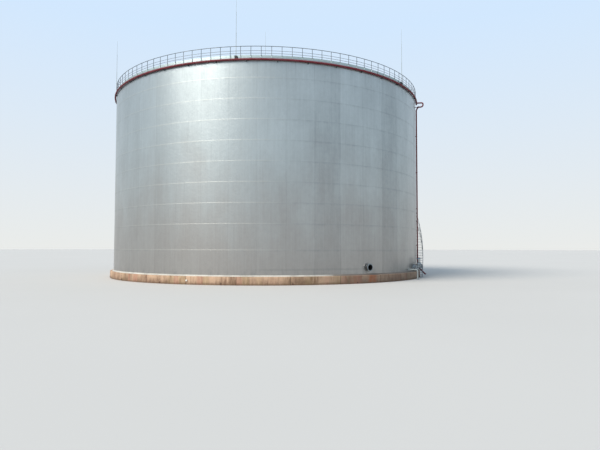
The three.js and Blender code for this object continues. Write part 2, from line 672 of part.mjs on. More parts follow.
function gateValve(start, angle) {
  const end = start + VALVE_LENGTH;
  const middle = (start + end) / 2;
  const yokeLow = PRODUCT_Z + VALVE_GLAND.high - 10;
  const yokeHigh = PRODUCT_Z + YOKE_CAP.low + 10;
  const yokeBar = (side) => {
    const bar = new THREE.BoxGeometry(YOKE_BAR_WIDTH, YOKE_BAR_THICKNESS, yokeHigh - yokeLow);
    bar.translate(middle, side * YOKE_BAR_OFFSET, (yokeLow + yokeHigh) / 2);
    return turnTo(bar, angle);
  };
  const wide = [VALVE_BODY, VALVE_COLLAR, VALVE_BONNET, VALVE_GLAND, YOKE_CAP];
  const narrow = [YOKE_NECK, VALVE_STEM];
  return join([
    radialCylinder(start, end, PRODUCT_RADIUS, PRODUCT_Z, angle, 12),
    radialCylinder(start, start + PRODUCT_FLANGE, PRODUCT_FLANGE_RADIUS, PRODUCT_Z, angle, 12),
    radialCylinder(end - PRODUCT_FLANGE, end, PRODUCT_FLANGE_RADIUS, PRODUCT_Z, angle, 12),
    ...wide.map((part) => turnedPart(part, PRODUCT_Z, middle, angle, 12)),
    yokeBar(-1),
    yokeBar(1),
    ...narrow.map((part) => turnedPart(part, PRODUCT_Z, middle, angle, 8)),
  ]);
}

function handwheel(distance, angle) {
  const z = PRODUCT_Z + HANDWHEEL_Z;
  const rim = new THREE.TorusGeometry(HANDWHEEL_RADIUS, HANDWHEEL_RIM, 4, 16);
  rim.translate(distance, 0, z);
  const spokes = HANDWHEEL_SPOKES.map((turn) => {
    const spoke = new THREE.BoxGeometry(2 * HANDWHEEL_RADIUS, SPOKE_WIDTH, SPOKE_THICKNESS);
    spoke.rotateZ(radians(turn));
    spoke.translate(distance, 0, z);
    return turnTo(spoke, angle);
  });
  const [hubLow, hubHigh] = HUB.map((offset) => z + offset);
  const hub = uprightCylinder(HUB_RADIUS, HUB_RADIUS, hubLow, hubHigh, distance, angle, 10);
  const boreRadius = VALVE_STEM.lowRadius + 2 * GAP;
  const bore = uprightCylinder(boreRadius, boreRadius, z - HUB_RADIUS, z + HUB_RADIUS, distance, angle, 8);
  return cut(join([turnTo(rim, angle), hub, ...spokes]), [bore]);
}

// The small nozzle with its hand valve
function addSmallNozzle() {
  const reach = TANK_RADIUS + SMALL_REACH;
  const angle = SMALL_ANGLE;
  const tube = radialCylinder(TANK_RADIUS - NOZZLE_INSIDE, reach, SMALL_RADIUS, SMALL_Z, angle, 12);
  const flange = radialCylinder(reach - SMALL_FLANGE, reach, SMALL_FLANGE_RADIUS, SMALL_Z, angle, 12);
  addPiece('small_nozzle', cut(join([tube, flange]), [shellRoom(angle, 6)]), greyPaint);

  const start = reach + GAP;
  const end = start + SMALL_VALVE_LENGTH;
  const middle = (start + end) / 2;
  const turned = [SMALL_VALVE_BODY, SMALL_VALVE_COLLAR, SMALL_VALVE_STEM, SMALL_VALVE_WHEEL];
  addPiece('small_valve', join([
    radialCylinder(start, end, SMALL_RADIUS, SMALL_Z, angle, 8),
    radialCylinder(start, start + SMALL_FLANGE, SMALL_FLANGE_RADIUS, SMALL_Z, angle, 8),
    radialCylinder(end - SMALL_FLANGE, end, SMALL_FLANGE_RADIUS, SMALL_Z, angle, 8),
    ...turned.map((part) => turnedPart(part, SMALL_Z, middle, angle, 8)),
  ]), greyPaint);
}

// Drain: out over the ring wall and down to the ground
function addDrain() {
  const reach = TANK_RADIUS + DRAIN_REACH;
  const route = [
    [TANK_RADIUS - NOZZLE_INSIDE, DRAIN_Z], [reach - DRAIN_BEND, DRAIN_Z],
    [reach - DRAIN_MITRE, DRAIN_Z - DRAIN_MITRE], [reach, DRAIN_Z - DRAIN_BEND], [reach, 0],
  ].map(([radius, z]) => polar(radius, DRAIN_ANGLE, z));
  const bend = pipe(route, DRAIN_RADIUS, 10, polar(1, DRAIN_ANGLE + 90, 0));
  addPiece('drain_pipe', cut(bend, [shellRoom(DRAIN_ANGLE, 6)]), greyPaint);
}

// Stair: treads from the shell to an outer stringer, in three flights with two landings
function stairAngle(riser) {
  const landingsPassed = LANDING_RISERS.filter((landing) => riser > landing).length;
  const extra = landingsPassed * (LANDING_ANGLE - STAIR_RUN_ANGLE);
  return STAIR_FOOT_ANGLE + (riser - 1) * STAIR_RUN_ANGLE + extra;
}

// A bar of upright section that climbs round the axis and stays above the ground. Stations
// hold [angle, z] of its lower edge.
function climbingBar(inner, outer, height, stations) {
  const outlines = stations.map(([angle, z]) => {
    const low = Math.max(z, 0);
    const high = z + height;
    const corners = [[inner, low], [inner, high], [outer, high], [outer, low]];
    return corners.map(([radius, level]) => polar(radius, angle, level));
  });
  const flatShape = [[0, 0], [0, 1], [1, 1], [1, 0]].map(([x, y]) => new THREE.Vector2(-x, y));
  return loft(outlines, flatShape);
}

// The inner end of a tread: at the shell, at the face of the ring wall, or clear of a pipe.
function treadInner(riser) {
  const top = riser * STAIR_RISE;
  if (top - TREAD_THICKNESS < RING_WALL_HEIGHT + GAP) return RING_WALL_OUTER + GAP;
  const ringRoom = RING_PIPE_RADIUS + PIPE_CLEARANCE;
  const besideRing = Math.abs(top - TREAD_THICKNESS / 2 - RING_PIPE_Z) < ringRoom + TREAD_THICKNESS / 2;
  if (besideRing) return TANK_RADIUS + RING_PIPE_OFFSET + ringRoom;
  const riserRoom = RISER_RADIUS + PIPE_CLEARANCE;
  const besideRiser = Math.abs(stairAngle(riser) - RISER_ANGLES[0]) < TREAD_HALF_ANGLE + spanAngle(riserRoom);
  return besideRiser ? TANK_RADIUS + RISER_OFFSET + riserRoom : TANK_RADIUS + GAP;
}

function addFlight(index, first, last) {
  const pieces = [];
  for (let riser = first; riser <= last; riser++) {
    const z = riser * STAIR_RISE;
    const outer = STAIR_OUTER - STRINGER_THICKNESS / 2;
    pieces.push(radialBox(treadInner(riser), outer, TREAD_DEPTH, z - TREAD_THICKNESS, z, stairAngle(riser)));
  }
  const from = stairAngle(first) - TREAD_HALF_ANGLE;
  const to = stairAngle(last) + TREAD_HALF_ANGLE;
  const footZ = (angle) => first * STAIR_RISE - STRINGER_DROP + (angle - stairAngle(first)) * STAIR_SLOPE;
  const stations = anglesBetween(from, to, STRINGER_STEP).map((angle) => [angle, footZ(angle)]);
  const height = STRINGER_DROP + STRINGER_RISE;
  pieces.push(climbingBar(STAIR_OUTER - STRINGER_THICKNESS, STAIR_OUTER, height, stations));
  addPiece(`stair_flight_${index + 1}`, join(pieces), stairPaint);
}

function addStairRail(index, first, last) {
  const posts = [];
  for (let riser = first; riser < last - 1; riser += HANDRAIL_POST_STEP) posts.push(stairAngle(riser));
  posts.push(stairAngle(last));
  const rail = railSolid({
    from: posts[0] - HALF_POST_ANGLE,
    to: posts[posts.length - 1] + HALF_POST_ANGLE,
    posts,
    foot: HANDRAIL_FOOT,
    bars: [
      [HANDRAIL_HEIGHT / 2, HANDRAIL_HEIGHT / 2 + HANDRAIL_BAR],
      [HANDRAIL_HEIGHT - HANDRAIL_BAR, HANDRAIL_HEIGHT],
    ],
    inner: STAIR_OUTER + GAP,
    outer: STAIR_OUTER + GAP + HANDRAIL_BAR,
    lineZ: (angle) => first * STAIR_RISE + (angle - stairAngle(first)) * STAIR_SLOPE,
  });
  addPiece(`stair_rail_${index + 1}`, rail, stairPaint);
}

// A landing: a plate on two brackets, with its own railing along the outer edge
function addLanding(name, riser, plateInner, to) {
  const z = riser * STAIR_RISE;
  const from = stairAngle(riser - 1) + TREAD_HALF_ANGLE + GAP_ANGLE;
  const plateProfile = rectangleProfile(plateInner, STAIR_OUTER, z - TREAD_THICKNESS, z);
  const plate = revolve(plateProfile, from, to, (to - from) / 2);
  const pieces = [plate];
  const ends = [from + LANDING_POST_INSET, to - LANDING_POST_INSET];
  const foot = z - LANDING_OVERLAP;
  const behind = TANK_RADIUS - INTO_SHELL;
  const post = LANDING_POST;
  const bracket = LANDING_BRACKET;
  for (const angle of ends) {
    pieces.push(radialBox(behind, bracket.outer, bracket.width, z - bracket.drop, foot, angle));
    pieces.push(radialBox(post.inner, post.outer, post.width, foot, foot + HANDRAIL_HEIGHT, angle));
  }
  for (const height of [HANDRAIL_HEIGHT / 2, HANDRAIL_HEIGHT - HANDRAIL_BAR]) {
    const stations = ends.map((angle) => [angle, z + height]);
    pieces.push(climbingBar(LANDING_RAIL.inner, LANDING_RAIL.outer, HANDRAIL_BAR, stations));
  }
  addPiece(name, cut(join(pieces), [shellRoom(from, 9)]), stairPaint);
}

function addStair() {
  const [firstLanding, secondLanding] = LANDING_RISERS;
  const flights = [
    [1, firstLanding - 1], [firstLanding + 1, secondLanding - 1], [secondLanding + 1, STAIR_RISERS - 1],
  ];
  flights.forEach(([first, last], index) => {
    addFlight(index, first, last);
    addStairRail(index, first, last);
  });
  LANDING_RISERS.forEach((riser, index) => {
    const to = stairAngle(riser + 1) - TREAD_HALF_ANGLE - GAP_ANGLE;
    addLanding(`stair_landing_${index + 1}`, riser, TANK_RADIUS - INTO_SHELL, to);
  });
  addLanding('stair_head_platform', STAIR_RISERS, TANK_RADIUS + 1.5 * RAIL_DEPTH, FIRST_RAIL_POST);
}

addFoundation();
addBottom();
addShell();
addManway();
addRoof();
addRimRailing();
addRingPipe(0);
addRingPipe(1);
addRiser(0);
addRiser(1);
addProductNozzle(0, PRODUCT_ANGLES[0], bluePaint);
addProductNozzle(1, PRODUCT_ANGLES[1], darkPaint);
addSmallNozzle();
addDrain();
addStair();

export default tank;
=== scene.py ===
"""Looks of a vertical storage tank: a welded shell with a dome roof on a concrete ring wall.

Metres, +Z up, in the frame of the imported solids. The origin is on the tank's axis at the
underside of the foundation, and the open manway faces -Y. Angles are polar angles about the
axis, in degrees from +X.
"""

import math
import random
from types import SimpleNamespace

import bmesh
import bpy
from bpy.props import FloatProperty, FloatVectorProperty, IntProperty, PointerProperty
from mathutils import Matrix, Vector


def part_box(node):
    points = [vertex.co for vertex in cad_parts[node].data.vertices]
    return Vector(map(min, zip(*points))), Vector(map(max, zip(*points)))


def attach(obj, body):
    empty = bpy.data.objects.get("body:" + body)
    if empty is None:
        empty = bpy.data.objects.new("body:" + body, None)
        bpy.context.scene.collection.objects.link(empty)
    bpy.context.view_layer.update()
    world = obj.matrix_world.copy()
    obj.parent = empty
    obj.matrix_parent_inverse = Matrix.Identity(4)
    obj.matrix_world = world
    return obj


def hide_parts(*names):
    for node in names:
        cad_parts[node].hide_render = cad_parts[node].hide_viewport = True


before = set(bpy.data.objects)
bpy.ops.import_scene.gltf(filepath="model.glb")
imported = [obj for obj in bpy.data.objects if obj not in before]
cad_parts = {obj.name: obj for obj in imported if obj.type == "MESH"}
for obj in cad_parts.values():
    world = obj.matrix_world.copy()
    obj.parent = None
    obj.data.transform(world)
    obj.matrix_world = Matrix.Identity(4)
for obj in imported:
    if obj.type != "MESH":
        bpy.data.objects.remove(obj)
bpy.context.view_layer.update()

bl_info = {
    "name": "Vertical storage tank",
    "version": (1, 0, 0),
    "blender": (4, 5, 0),
    "location": "3D View > Sidebar > Storage tank",
    "description": "Finished pieces round the packed solids of a dome-roofed storage tank",
    "category": "Object",
}

# Ways in a place on the tank, whose own X points away from the tank's axis
OUT = Vector((1, 0, 0))
ASIDE = Vector((0, 1, 0))
UP = Vector((0, 0, 1))

# The place at the foot of that axis
TANK_AXIS = Matrix.Identity(4)

# Degrees from one section to the next along a form that is bent to the tank
ARC_STEP = 0.75

# Tank and foundation
RADIUS = 19.0
SHELL_THICKNESS = 0.02
SHELL_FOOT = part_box("shell_segment_1")[0].z
SHELL_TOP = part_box("shell_segment_1")[1].z
CURB_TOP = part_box("curb_bar")[1].z
WALL_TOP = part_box("ring_wall")[1].z
WALL_OUTER = RADIUS + 0.4
WALL_INNER = RADIUS - 0.4
CLEARANCE = 0.0003
SKIN = RADIUS + CLEARANCE
DEGREE_LENGTH = RADIUS * math.radians(1)
SHELL_NODES = [f"shell_segment_{number}" for number in range(1, 10)]
SHELL_NODES += ["shell_strip_over_manway", "manway_insert_plate"]

# Plate courses: two wide ones at the foot, the others narrower
LOW_COURSE = 2.5
LOW_COURSES_TOP = 2 * LOW_COURSE
COURSE = 2.0
COURSES = 8
COURSE_JOINTS = [LOW_COURSE, *(LOW_COURSES_TOP + COURSE * number for number in range(COURSES))]
PLATE_ANGLE = 24.0
PLATE_SHIFT = 7.7
PLATE_START = -84.0

# Paint lanes as wide as the painters' cradle
LANES = 43
LANE_ANGLE = 360 / LANES
LANE_START = -117.0

# Faint line of dirt low on the shell
TIDE_HEIGHT = 0.62
TIDE_ANGLE = -108.0

# Side where the level welds get a painted highlight, facing the key light
LIT_WELD_SIDE_ANGLE = 210.0

# Shell sectors, one with the manway in its middle
SECTORS = 16
SECTOR_ANGLE = 360 / SECTORS
FIRST_SECTOR = -90 - SECTOR_ANGLE / 2

# Ring wall
WALL_JOINTS = 24
WALL_JOINT_STEP = 360 / WALL_JOINTS
FIRST_WALL_JOINT = -85.9
WALL_JOINT_HALF = 0.012
WALL_BEVEL = 0.025
BOARD = WALL_TOP / 3
WEEP_HOLES = 18
WEEP_HOLE_STEP = 360 / WEEP_HOLES
FIRST_WEEP_HOLE = -135.2
WEEP_HOLE_Z = 0.14
WEEP_PIPE = 0.055
WEEP_BORE = 0.046
STUB_ANGLE = -145.6
STUB_Z = 0.4
STUB_PIPE = 0.07
STUB_CAP = 0.085
RUST_PATCH_ANGLE = -89.3
PINK_PATCH_ANGLE = -95.8
# Middle of the side towards the stair: painted shade on the shell, seal and ring wall, and dirt on the wall
SHADE_AND_DIRT_SIDE_ANGLE = -54.0
WALL_STRIP_ANGLE = 1.9

# Seal at the foot of the shell
SEAL_WIDTH = 0.16
SEAL_HEIGHT = 0.13
SEAL_SEED = 5

# Roof, with its rows of plates: outer and inner distance from the axis, and number of plates
ROOF_EDGE = RADIUS - 0.04
DOME_RADIUS = 57.0
ROOF_THICKNESS = 0.02
CROWN_RADIUS = 1.0
ROOF_ROWS = [(ROOF_EDGE, 15.2, 24), (15.2, 11.4, 24), (11.4, 7.6, 18), (7.6, 3.9, 12), (3.9, 0.95, 6)]
ROOF_ROW = 3.8
ROOF_PLATE_ANGLE = 15.0
ROOF_PLATE = 0.007
ROOF_ROW_RISE = 0.006
GORES = 6
GORE_START = 1.67
CENTRE_FITTING_OFFSET = 0.47
CENTRE_ROD_ANGLE = 144.3
CENTRE_ROD_LENGTH = 7.36
VENT_PIPE = 0.13
VENT_FLANGE = (0.2, 0.235)

# Curb angle
CURB_THICKNESS = 0.012
CURB_WIDTH = 0.1
CURB_BEAD = 0.006

# Lightning rods on the rim
RODS = 6
ROD_LENGTH = 6.1
ROD_TUBE = 0.025
FIRST_ROD_ANGLE = -131.6
ROD_SPACING = 60.0

# Rim railing
POST_STEP = 3.0
POSTS = 120
FIRST_POST = 19.67
RAILING_SECTIONS = 6
RAIL_FOOT = SHELL_TOP - 0.06
RAIL_TOP = CURB_TOP + 1.0
RAIL_MIDDLES = (CURB_TOP + 0.53, CURB_TOP + 0.28)
RAIL_RADIUS = RADIUS + 0.0323
RAILING_NODES = [f"rim_railing_{section}" for section in range(1, RAILING_SECTIONS + 1)]
TOE_PLATE = 0.11
CLIP = 0.008

# Cooling water pipes
RING_OFFSET = 0.15
RING_PIPE = 0.1
RING_Z = 21.5
RING_STARTS = (140.9, -39.1)
RING_ANGLE = 172.0
RING_WELD_STEP = 18.0
SPRAY_STEP = 1.5
RING_BRACKET_STEP = 9.0
RING_BRACKET_ANGLE = -128.6
U_BOLT = 0.006
RISER_PIPE = 0.084
RISER_ANGLES = (-49.0, 131.0)
RISER_OFFSET = 0.122
RISER_BRACKETS = (3.8, 8.3, 12.8, 17.3)
RISER_BRACKET_HEIGHT = 0.07
RISER_WELDS = (2.6, 8.6, 14.6)
RISER_END_Z = 0.33
RISER_SLANT_Z = 1.26
RISER_BEND_Z = 20.58
RISER_BEND = 0.32
RISER_FLANGE = 0.024
LOOP_Z = 20.98
LOOP_REACH = 0.95
LOOP_GASKET = 0.004
WALL_PLATE = 0.011
PIPE_CLEARANCE = 0.03

# Manway
MANWAY_ANGLE = -90.0
MANWAY_Z = WALL_TOP + 0.76
MANWAY_BORE = 0.293
MANWAY_OUTER = MANWAY_BORE + 0.012
MANWAY_HOLE = MANWAY_OUTER + 2 * CLEARANCE
MANWAY_FACE = RADIUS + 0.3
MANWAY_FLANGE = 0.385
MANWAY_FLANGE_THICKNESS = 0.028
MANWAY_CHAMFER = 0.003
MANWAY_BOLT_CIRCLE = 0.346
MANWAY_BOLT_HOLE = 0.013
MANWAY_GASKET = 0.312
MANWAY_PAD = 0.6
MANWAY_PAD_THICKNESS = 0.012
# How far the painted shadow round the manway's neck is set off to one side
MANWAY_SHADE_SHIFT = 0.12

# Nuts and bolt heads: width over the corners, height, and how far a stud's end stands out
VENT_NUT = (0.022, 0.016, 0.0)
RISER_FOOT_NUT = (0.024, 0.018, 0.0)
RISER_LOOP_NUT = (0.024, 0.018, 0.008)
BONNET_NUT = (0.03, 0.024, 0.01)
BONNET_BOLT_HEAD = (0.03, 0.022, 0.0)
GLAND_NUT = (0.026, 0.02, 0.03)
SMALL_BONNET_NUT = (0.016, 0.012, 0.0)

# Nozzles: pipe, flange, circle and pad are radii, and the pipe ends a recess behind the flange's face
PIPE_ROOT = RADIUS + 0.001
PRODUCT = SimpleNamespace(
    z=WALL_TOP + 0.56, pipe=0.162, sides=40, face=RADIUS + 0.32, flange=0.23, thickness=0.032, recess=0.02,
    bolts=12, circle=0.2, nut=(0.034, 0.026, 0.012), pad=0.3078, pad_thickness=0.014,
)
SMALL = SimpleNamespace(
    z=WALL_TOP + 0.48, pipe=0.057, sides=28, face=RADIUS + 0.26, flange=0.11, thickness=0.02, recess=0.01,
    bolts=8, circle=0.088, nut=(0.022, 0.016, 0.008), pad=0.114, pad_thickness=0.01,
)
PRODUCT_ANGLES = (-59.4, -56.6)
WHEELS = ("blue", "dark")
VALVE_LENGTH = 0.5
BONNET = 0.228
WHEEL_HEIGHT = 0.94
SMALL_ANGLE = -61.3
SMALL_VALVE_LENGTH = 0.24
SMALL_WHEEL_HEIGHT = 0.318

# Drain
DRAIN_ANGLE = -66.1
DRAIN_Z = WALL_TOP + 0.3
DRAIN_PIPE = 0.084
DRAIN_END = RADIUS + 1.04
DRAIN_BEND = 0.2
DRAIN_WELDS = (RADIUS + 0.42, DRAIN_END - 0.22)

# Stair wound round the shell
STAIR_FOOT_ANGLE = -54.3
RISERS = 109
RISE = CURB_TOP / RISERS
RUN_ANGLE = 0.618
LANDING_ANGLE = 2.9
LANDING_RISERS = (46, 78)
STAIR_OUTER = RADIUS + 0.75
TREAD_DEPTH = 0.25
TREAD_THICKNESS = 0.04
TREAD_HALF_ANGLE = math.degrees(TREAD_DEPTH / 2 / RADIUS)
NOSING = 0.035
GRATING_FLAT = 0.006
GRATING_BAR_HALF = 0.0025
GRATING_TIE_HALF = 0.003
GRATING_TIE_STEP = 0.15
STRINGER_DROP = 0.13
STRINGER_HEIGHT = 0.18
STRINGER_INNER = STAIR_OUTER - 0.012
HANDRAIL_HEIGHT = 1.0
HANDRAIL_STEP = 4
HANDRAIL_RADIUS = STAIR_OUTER + 0.0223
HANDRAIL_TUBE = 0.021
HANDRAIL_TOP_BAR = (HANDRAIL_HEIGHT - HANDRAIL_TUBE, HANDRAIL_TUBE)
HANDRAIL_MIDDLE_BAR = (HANDRAIL_HEIGHT / 2 + 0.02, HANDRAIL_TUBE * 0.8)
HANDRAIL_BARS = (HANDRAIL_TOP_BAR, HANDRAIL_MIDDLE_BAR)

# Floor and light
FLOOR_RINGS = (30.0, 80.0, 200.0, 900.0)
FLOOR_SIDES = 72
FLOOR_DROP = 0.002
SKY_BLEND = 0.4
KEY_COLOUR = (1.0, 0.935, 0.85)


def tone(red, green, blue):
    """A colour as a screen shows it, from 0 to 255, in the scene's own values."""
    return tuple(((part / 255 + 0.055) / 1.055) ** 2.4 for part in (red, green, blue))


def colour_property(name, description, *shown):
    default = tone(*shown)
    return FloatVectorProperty(
        name=name, description=description, default=default, subtype="COLOR", size=3, min=0, max=1
    )


def length_property(name, description, default):
    return FloatProperty(
        name=name, description=description, default=default, min=0.001, unit="LENGTH", subtype="DISTANCE"
    )


def angle_property(name, description, degrees):
    default = math.radians(degrees)
    return FloatProperty(
        name=name, description=description, default=default, unit="ROTATION", subtype="ANGLE"
    )


def number_property(name, description, default, least, kind=FloatProperty):
    return kind(name=name, description=description, default=default, min=least)


class TankSizes(bpy.types.PropertyGroup):
    """Sizes of the finer details"""

    weld_width: length_property("Weld width", "Width of the weld beads between shell plates", 0.03)
    weld_height: length_property("Weld height", "How far a weld bead stands off its plate", 0.0022)
    rail_tube: length_property("Rail tube", "Diameter of the rim railing's top rail", 0.06)
    post_tube: length_property("Post tube", "Diameter of the rim railing's posts", 0.058)
    middle_tube: length_property("Middle rail tube", "Diameter of the rim railing's middle rails", 0.034)
    roof_lap: length_property("Roof lap", "How far each roof plate lies over the next", 0.05)
    joint_depth: length_property("Joint depth", "Depth of the ring wall's upright joints", 0.02)
    manway_bolts: number_property("Manway bolts", "Bolt holes in the manway's flange", 24, 4, IntProperty)
    tread_bars: number_property("Tread bars", "Bearing bars in each grating tread", 6, 2, IntProperty)


class TankColours(bpy.types.PropertyGroup):
    """Colours of the finishes"""

    # Silver high and dusty silver low also paint a reflection: bluer sky above, warmer floor below
    silver: colour_property("Silver paint", "Aluminium paint high on the shell", 174, 182, 183)
    silver_dull: colour_property("Dull silver", "Aluminium paint where it has weathered", 147, 155, 157)
    silver_low: colour_property("Dusty silver", "Aluminium paint low on the shell, dusty", 163, 161, 158)
    roof: colour_property("Roof paint", "Paint of the roof plates", 132, 140, 141)
    rim: colour_property("Rim paint", "Grey-green paint of the curb, toe plate and post feet", 164, 180, 180)
    rail: colour_property("Railing paint", "Grey-blue paint of the rim railing and handrails", 80, 92, 102)
    red: colour_property("Red paint", "Paint of the cooling water pipes", 98, 28, 38)
    zinc: colour_property("Zinc", "Galvanised steel of the lightning rods and the drain", 142, 151, 151)
    grey: colour_property("Valve paint", "Grey paint of the manway, nozzles and valves", 124, 135, 142)
    stair: colour_property("Stair paint", "Grey paint of the flights and landings", 112, 120, 124)
    seal: colour_property("Seal", "Pale mastic at the foot of the shell", 176, 173, 164)
    # Pale paint is also the painted highlight along the level welds
    pale: colour_property("Pale paint", "The pipe stub, and dust along the level welds", 200, 200, 192)
    blue: colour_property("Blue wheel", "Paint of the first handwheel", 40, 120, 160)
    dark: colour_property("Dark paint", "Paint of the other handwheels and the ring's brackets", 60, 70, 74)
    # Black paint is also painted shade inside the openings
    black: colour_property("Black paint", "The rods' brackets, and the dark inside of openings", 22, 24, 26)
    steel: colour_property("Steel", "Bolts and stems where they are free of rust", 92, 90, 88)
    concrete: colour_property("Concrete", "Sun-bleached concrete of the ring wall", 188, 158, 132)
    stained: colour_property("Stained concrete", "Concrete where dirt and water have been", 106, 83, 64)
    olive: colour_property("Mossy concrete", "Greenish strips of the ring wall", 146, 128, 88)
    rust: colour_property("Rust", "Rust runs, and rust on bare steel", 118, 66, 38)
    pink: colour_property("Red dust", "Pinkish strips of the ring wall", 150, 104, 86)
    # The dirt colour also paints shade on the ring wall and seal on the stair side
    dirt_and_shade: colour_property("Dirt", "Dirt on the foundation near the stair", 84, 74, 66)
    fill: colour_property("Fill", "Packed fill inside the ring wall", 140, 128, 108)


class StageSettings(bpy.types.PropertyGroup):
    """Camera, floor and light"""

    lens: number_property("Lens", "Focal length of the camera in millimetres", 30.6, 1)
    camera_distance: length_property("Camera distance", "From the tank's axis to the camera", 67.188)
    camera_bearing: angle_property("Camera bearing", "Polar angle of the camera", -122.123)
    camera_height: length_property("Camera height", "Height of the camera over the floor", 3.5386)
    camera_heading: angle_property("Camera heading", "Polar angle of the way the camera looks", 54.3)
    camera_pitch: angle_property("Camera pitch", "Upward tilt of the camera", 2.54)
    camera_roll: angle_property("Camera roll", "Turn of the camera about its view", 0.1)
    floor: colour_property("Floor", "Colour of the plain floor", 176, 174, 170)
    sky_low: colour_property("Light near the floor", "Colour of the soft light from the sides", 228, 230, 228)
    sky_high: colour_property("Light from above", "Colour of the soft light from above", 205, 226, 248)
    sky_strength: number_property("Soft light", "Strength of the soft light all round", 1.06, 0)
    key_strength: number_property("Key light", "Strength of the key light", 4.45, 0)
    key_bearing: angle_property("Key bearing", "Polar angle that the key light comes from", 185.0)
    key_height: angle_property("Key height", "Elevation of the key light", 43.0)
    key_softness: angle_property("Key softness", "Apparent width of the key light", 38.0)


# Places on the tank


def polar(radius, angle, z=0.0):
    """A point at a distance from the axis, a polar angle and a height."""
    turn = math.radians(angle)
    return Vector((radius * math.cos(turn), radius * math.sin(turn), z))


def outward(angle, radius=0.0, z=0.0):
    """A place on the tank whose own +X points away from the axis."""
    return Matrix.Rotation(math.radians(angle), 4, "Z") @ Matrix.Translation((radius, 0, z))


def spread(start, end, step):
    """Values from one to another in equal steps about as wide as the step."""
    count = max(1, round(abs(end - start) / step))
    return [start + (end - start) * index / count for index in range(count + 1)]


def turns(count, shift=0.5):
    """Angles in radians evenly round a circle, moved on by a share of the step between them."""
    return [2 * math.pi * (index + shift) / count for index in range(count)]


def arc_degrees(length, radius=RADIUS):
    """The angle that a length takes up round the shell."""
    return math.degrees(length / radius)


def rounded(corners, bend, steps):
    """A path through corner points, each corner turned on a bend."""
    corners = [Vector(corner) for corner in corners]
    path = [corners[0]]
    for before, corner, after in zip(corners, corners[1:], corners[2:]):
        into, away = (corner - before).normalized(), (after - corner).normalized()
        turn = into.angle(away)
        almost_half_leg = 0.49 * min((corner - before).length, (after - corner).length)
        reach = min(bend * math.tan(turn / 2), almost_half_leg)
        radius = reach / math.tan(turn / 2)
        inward = (away - into * math.cos(turn)).normalized()
        centre = corner - into * reach + inward * radius
        for part in spread(0, turn, turn / steps):
            path.append(centre - inward * radius * math.cos(part) + into * radius * math.sin(part))
    return [*path, corners[-1]]


# Forms


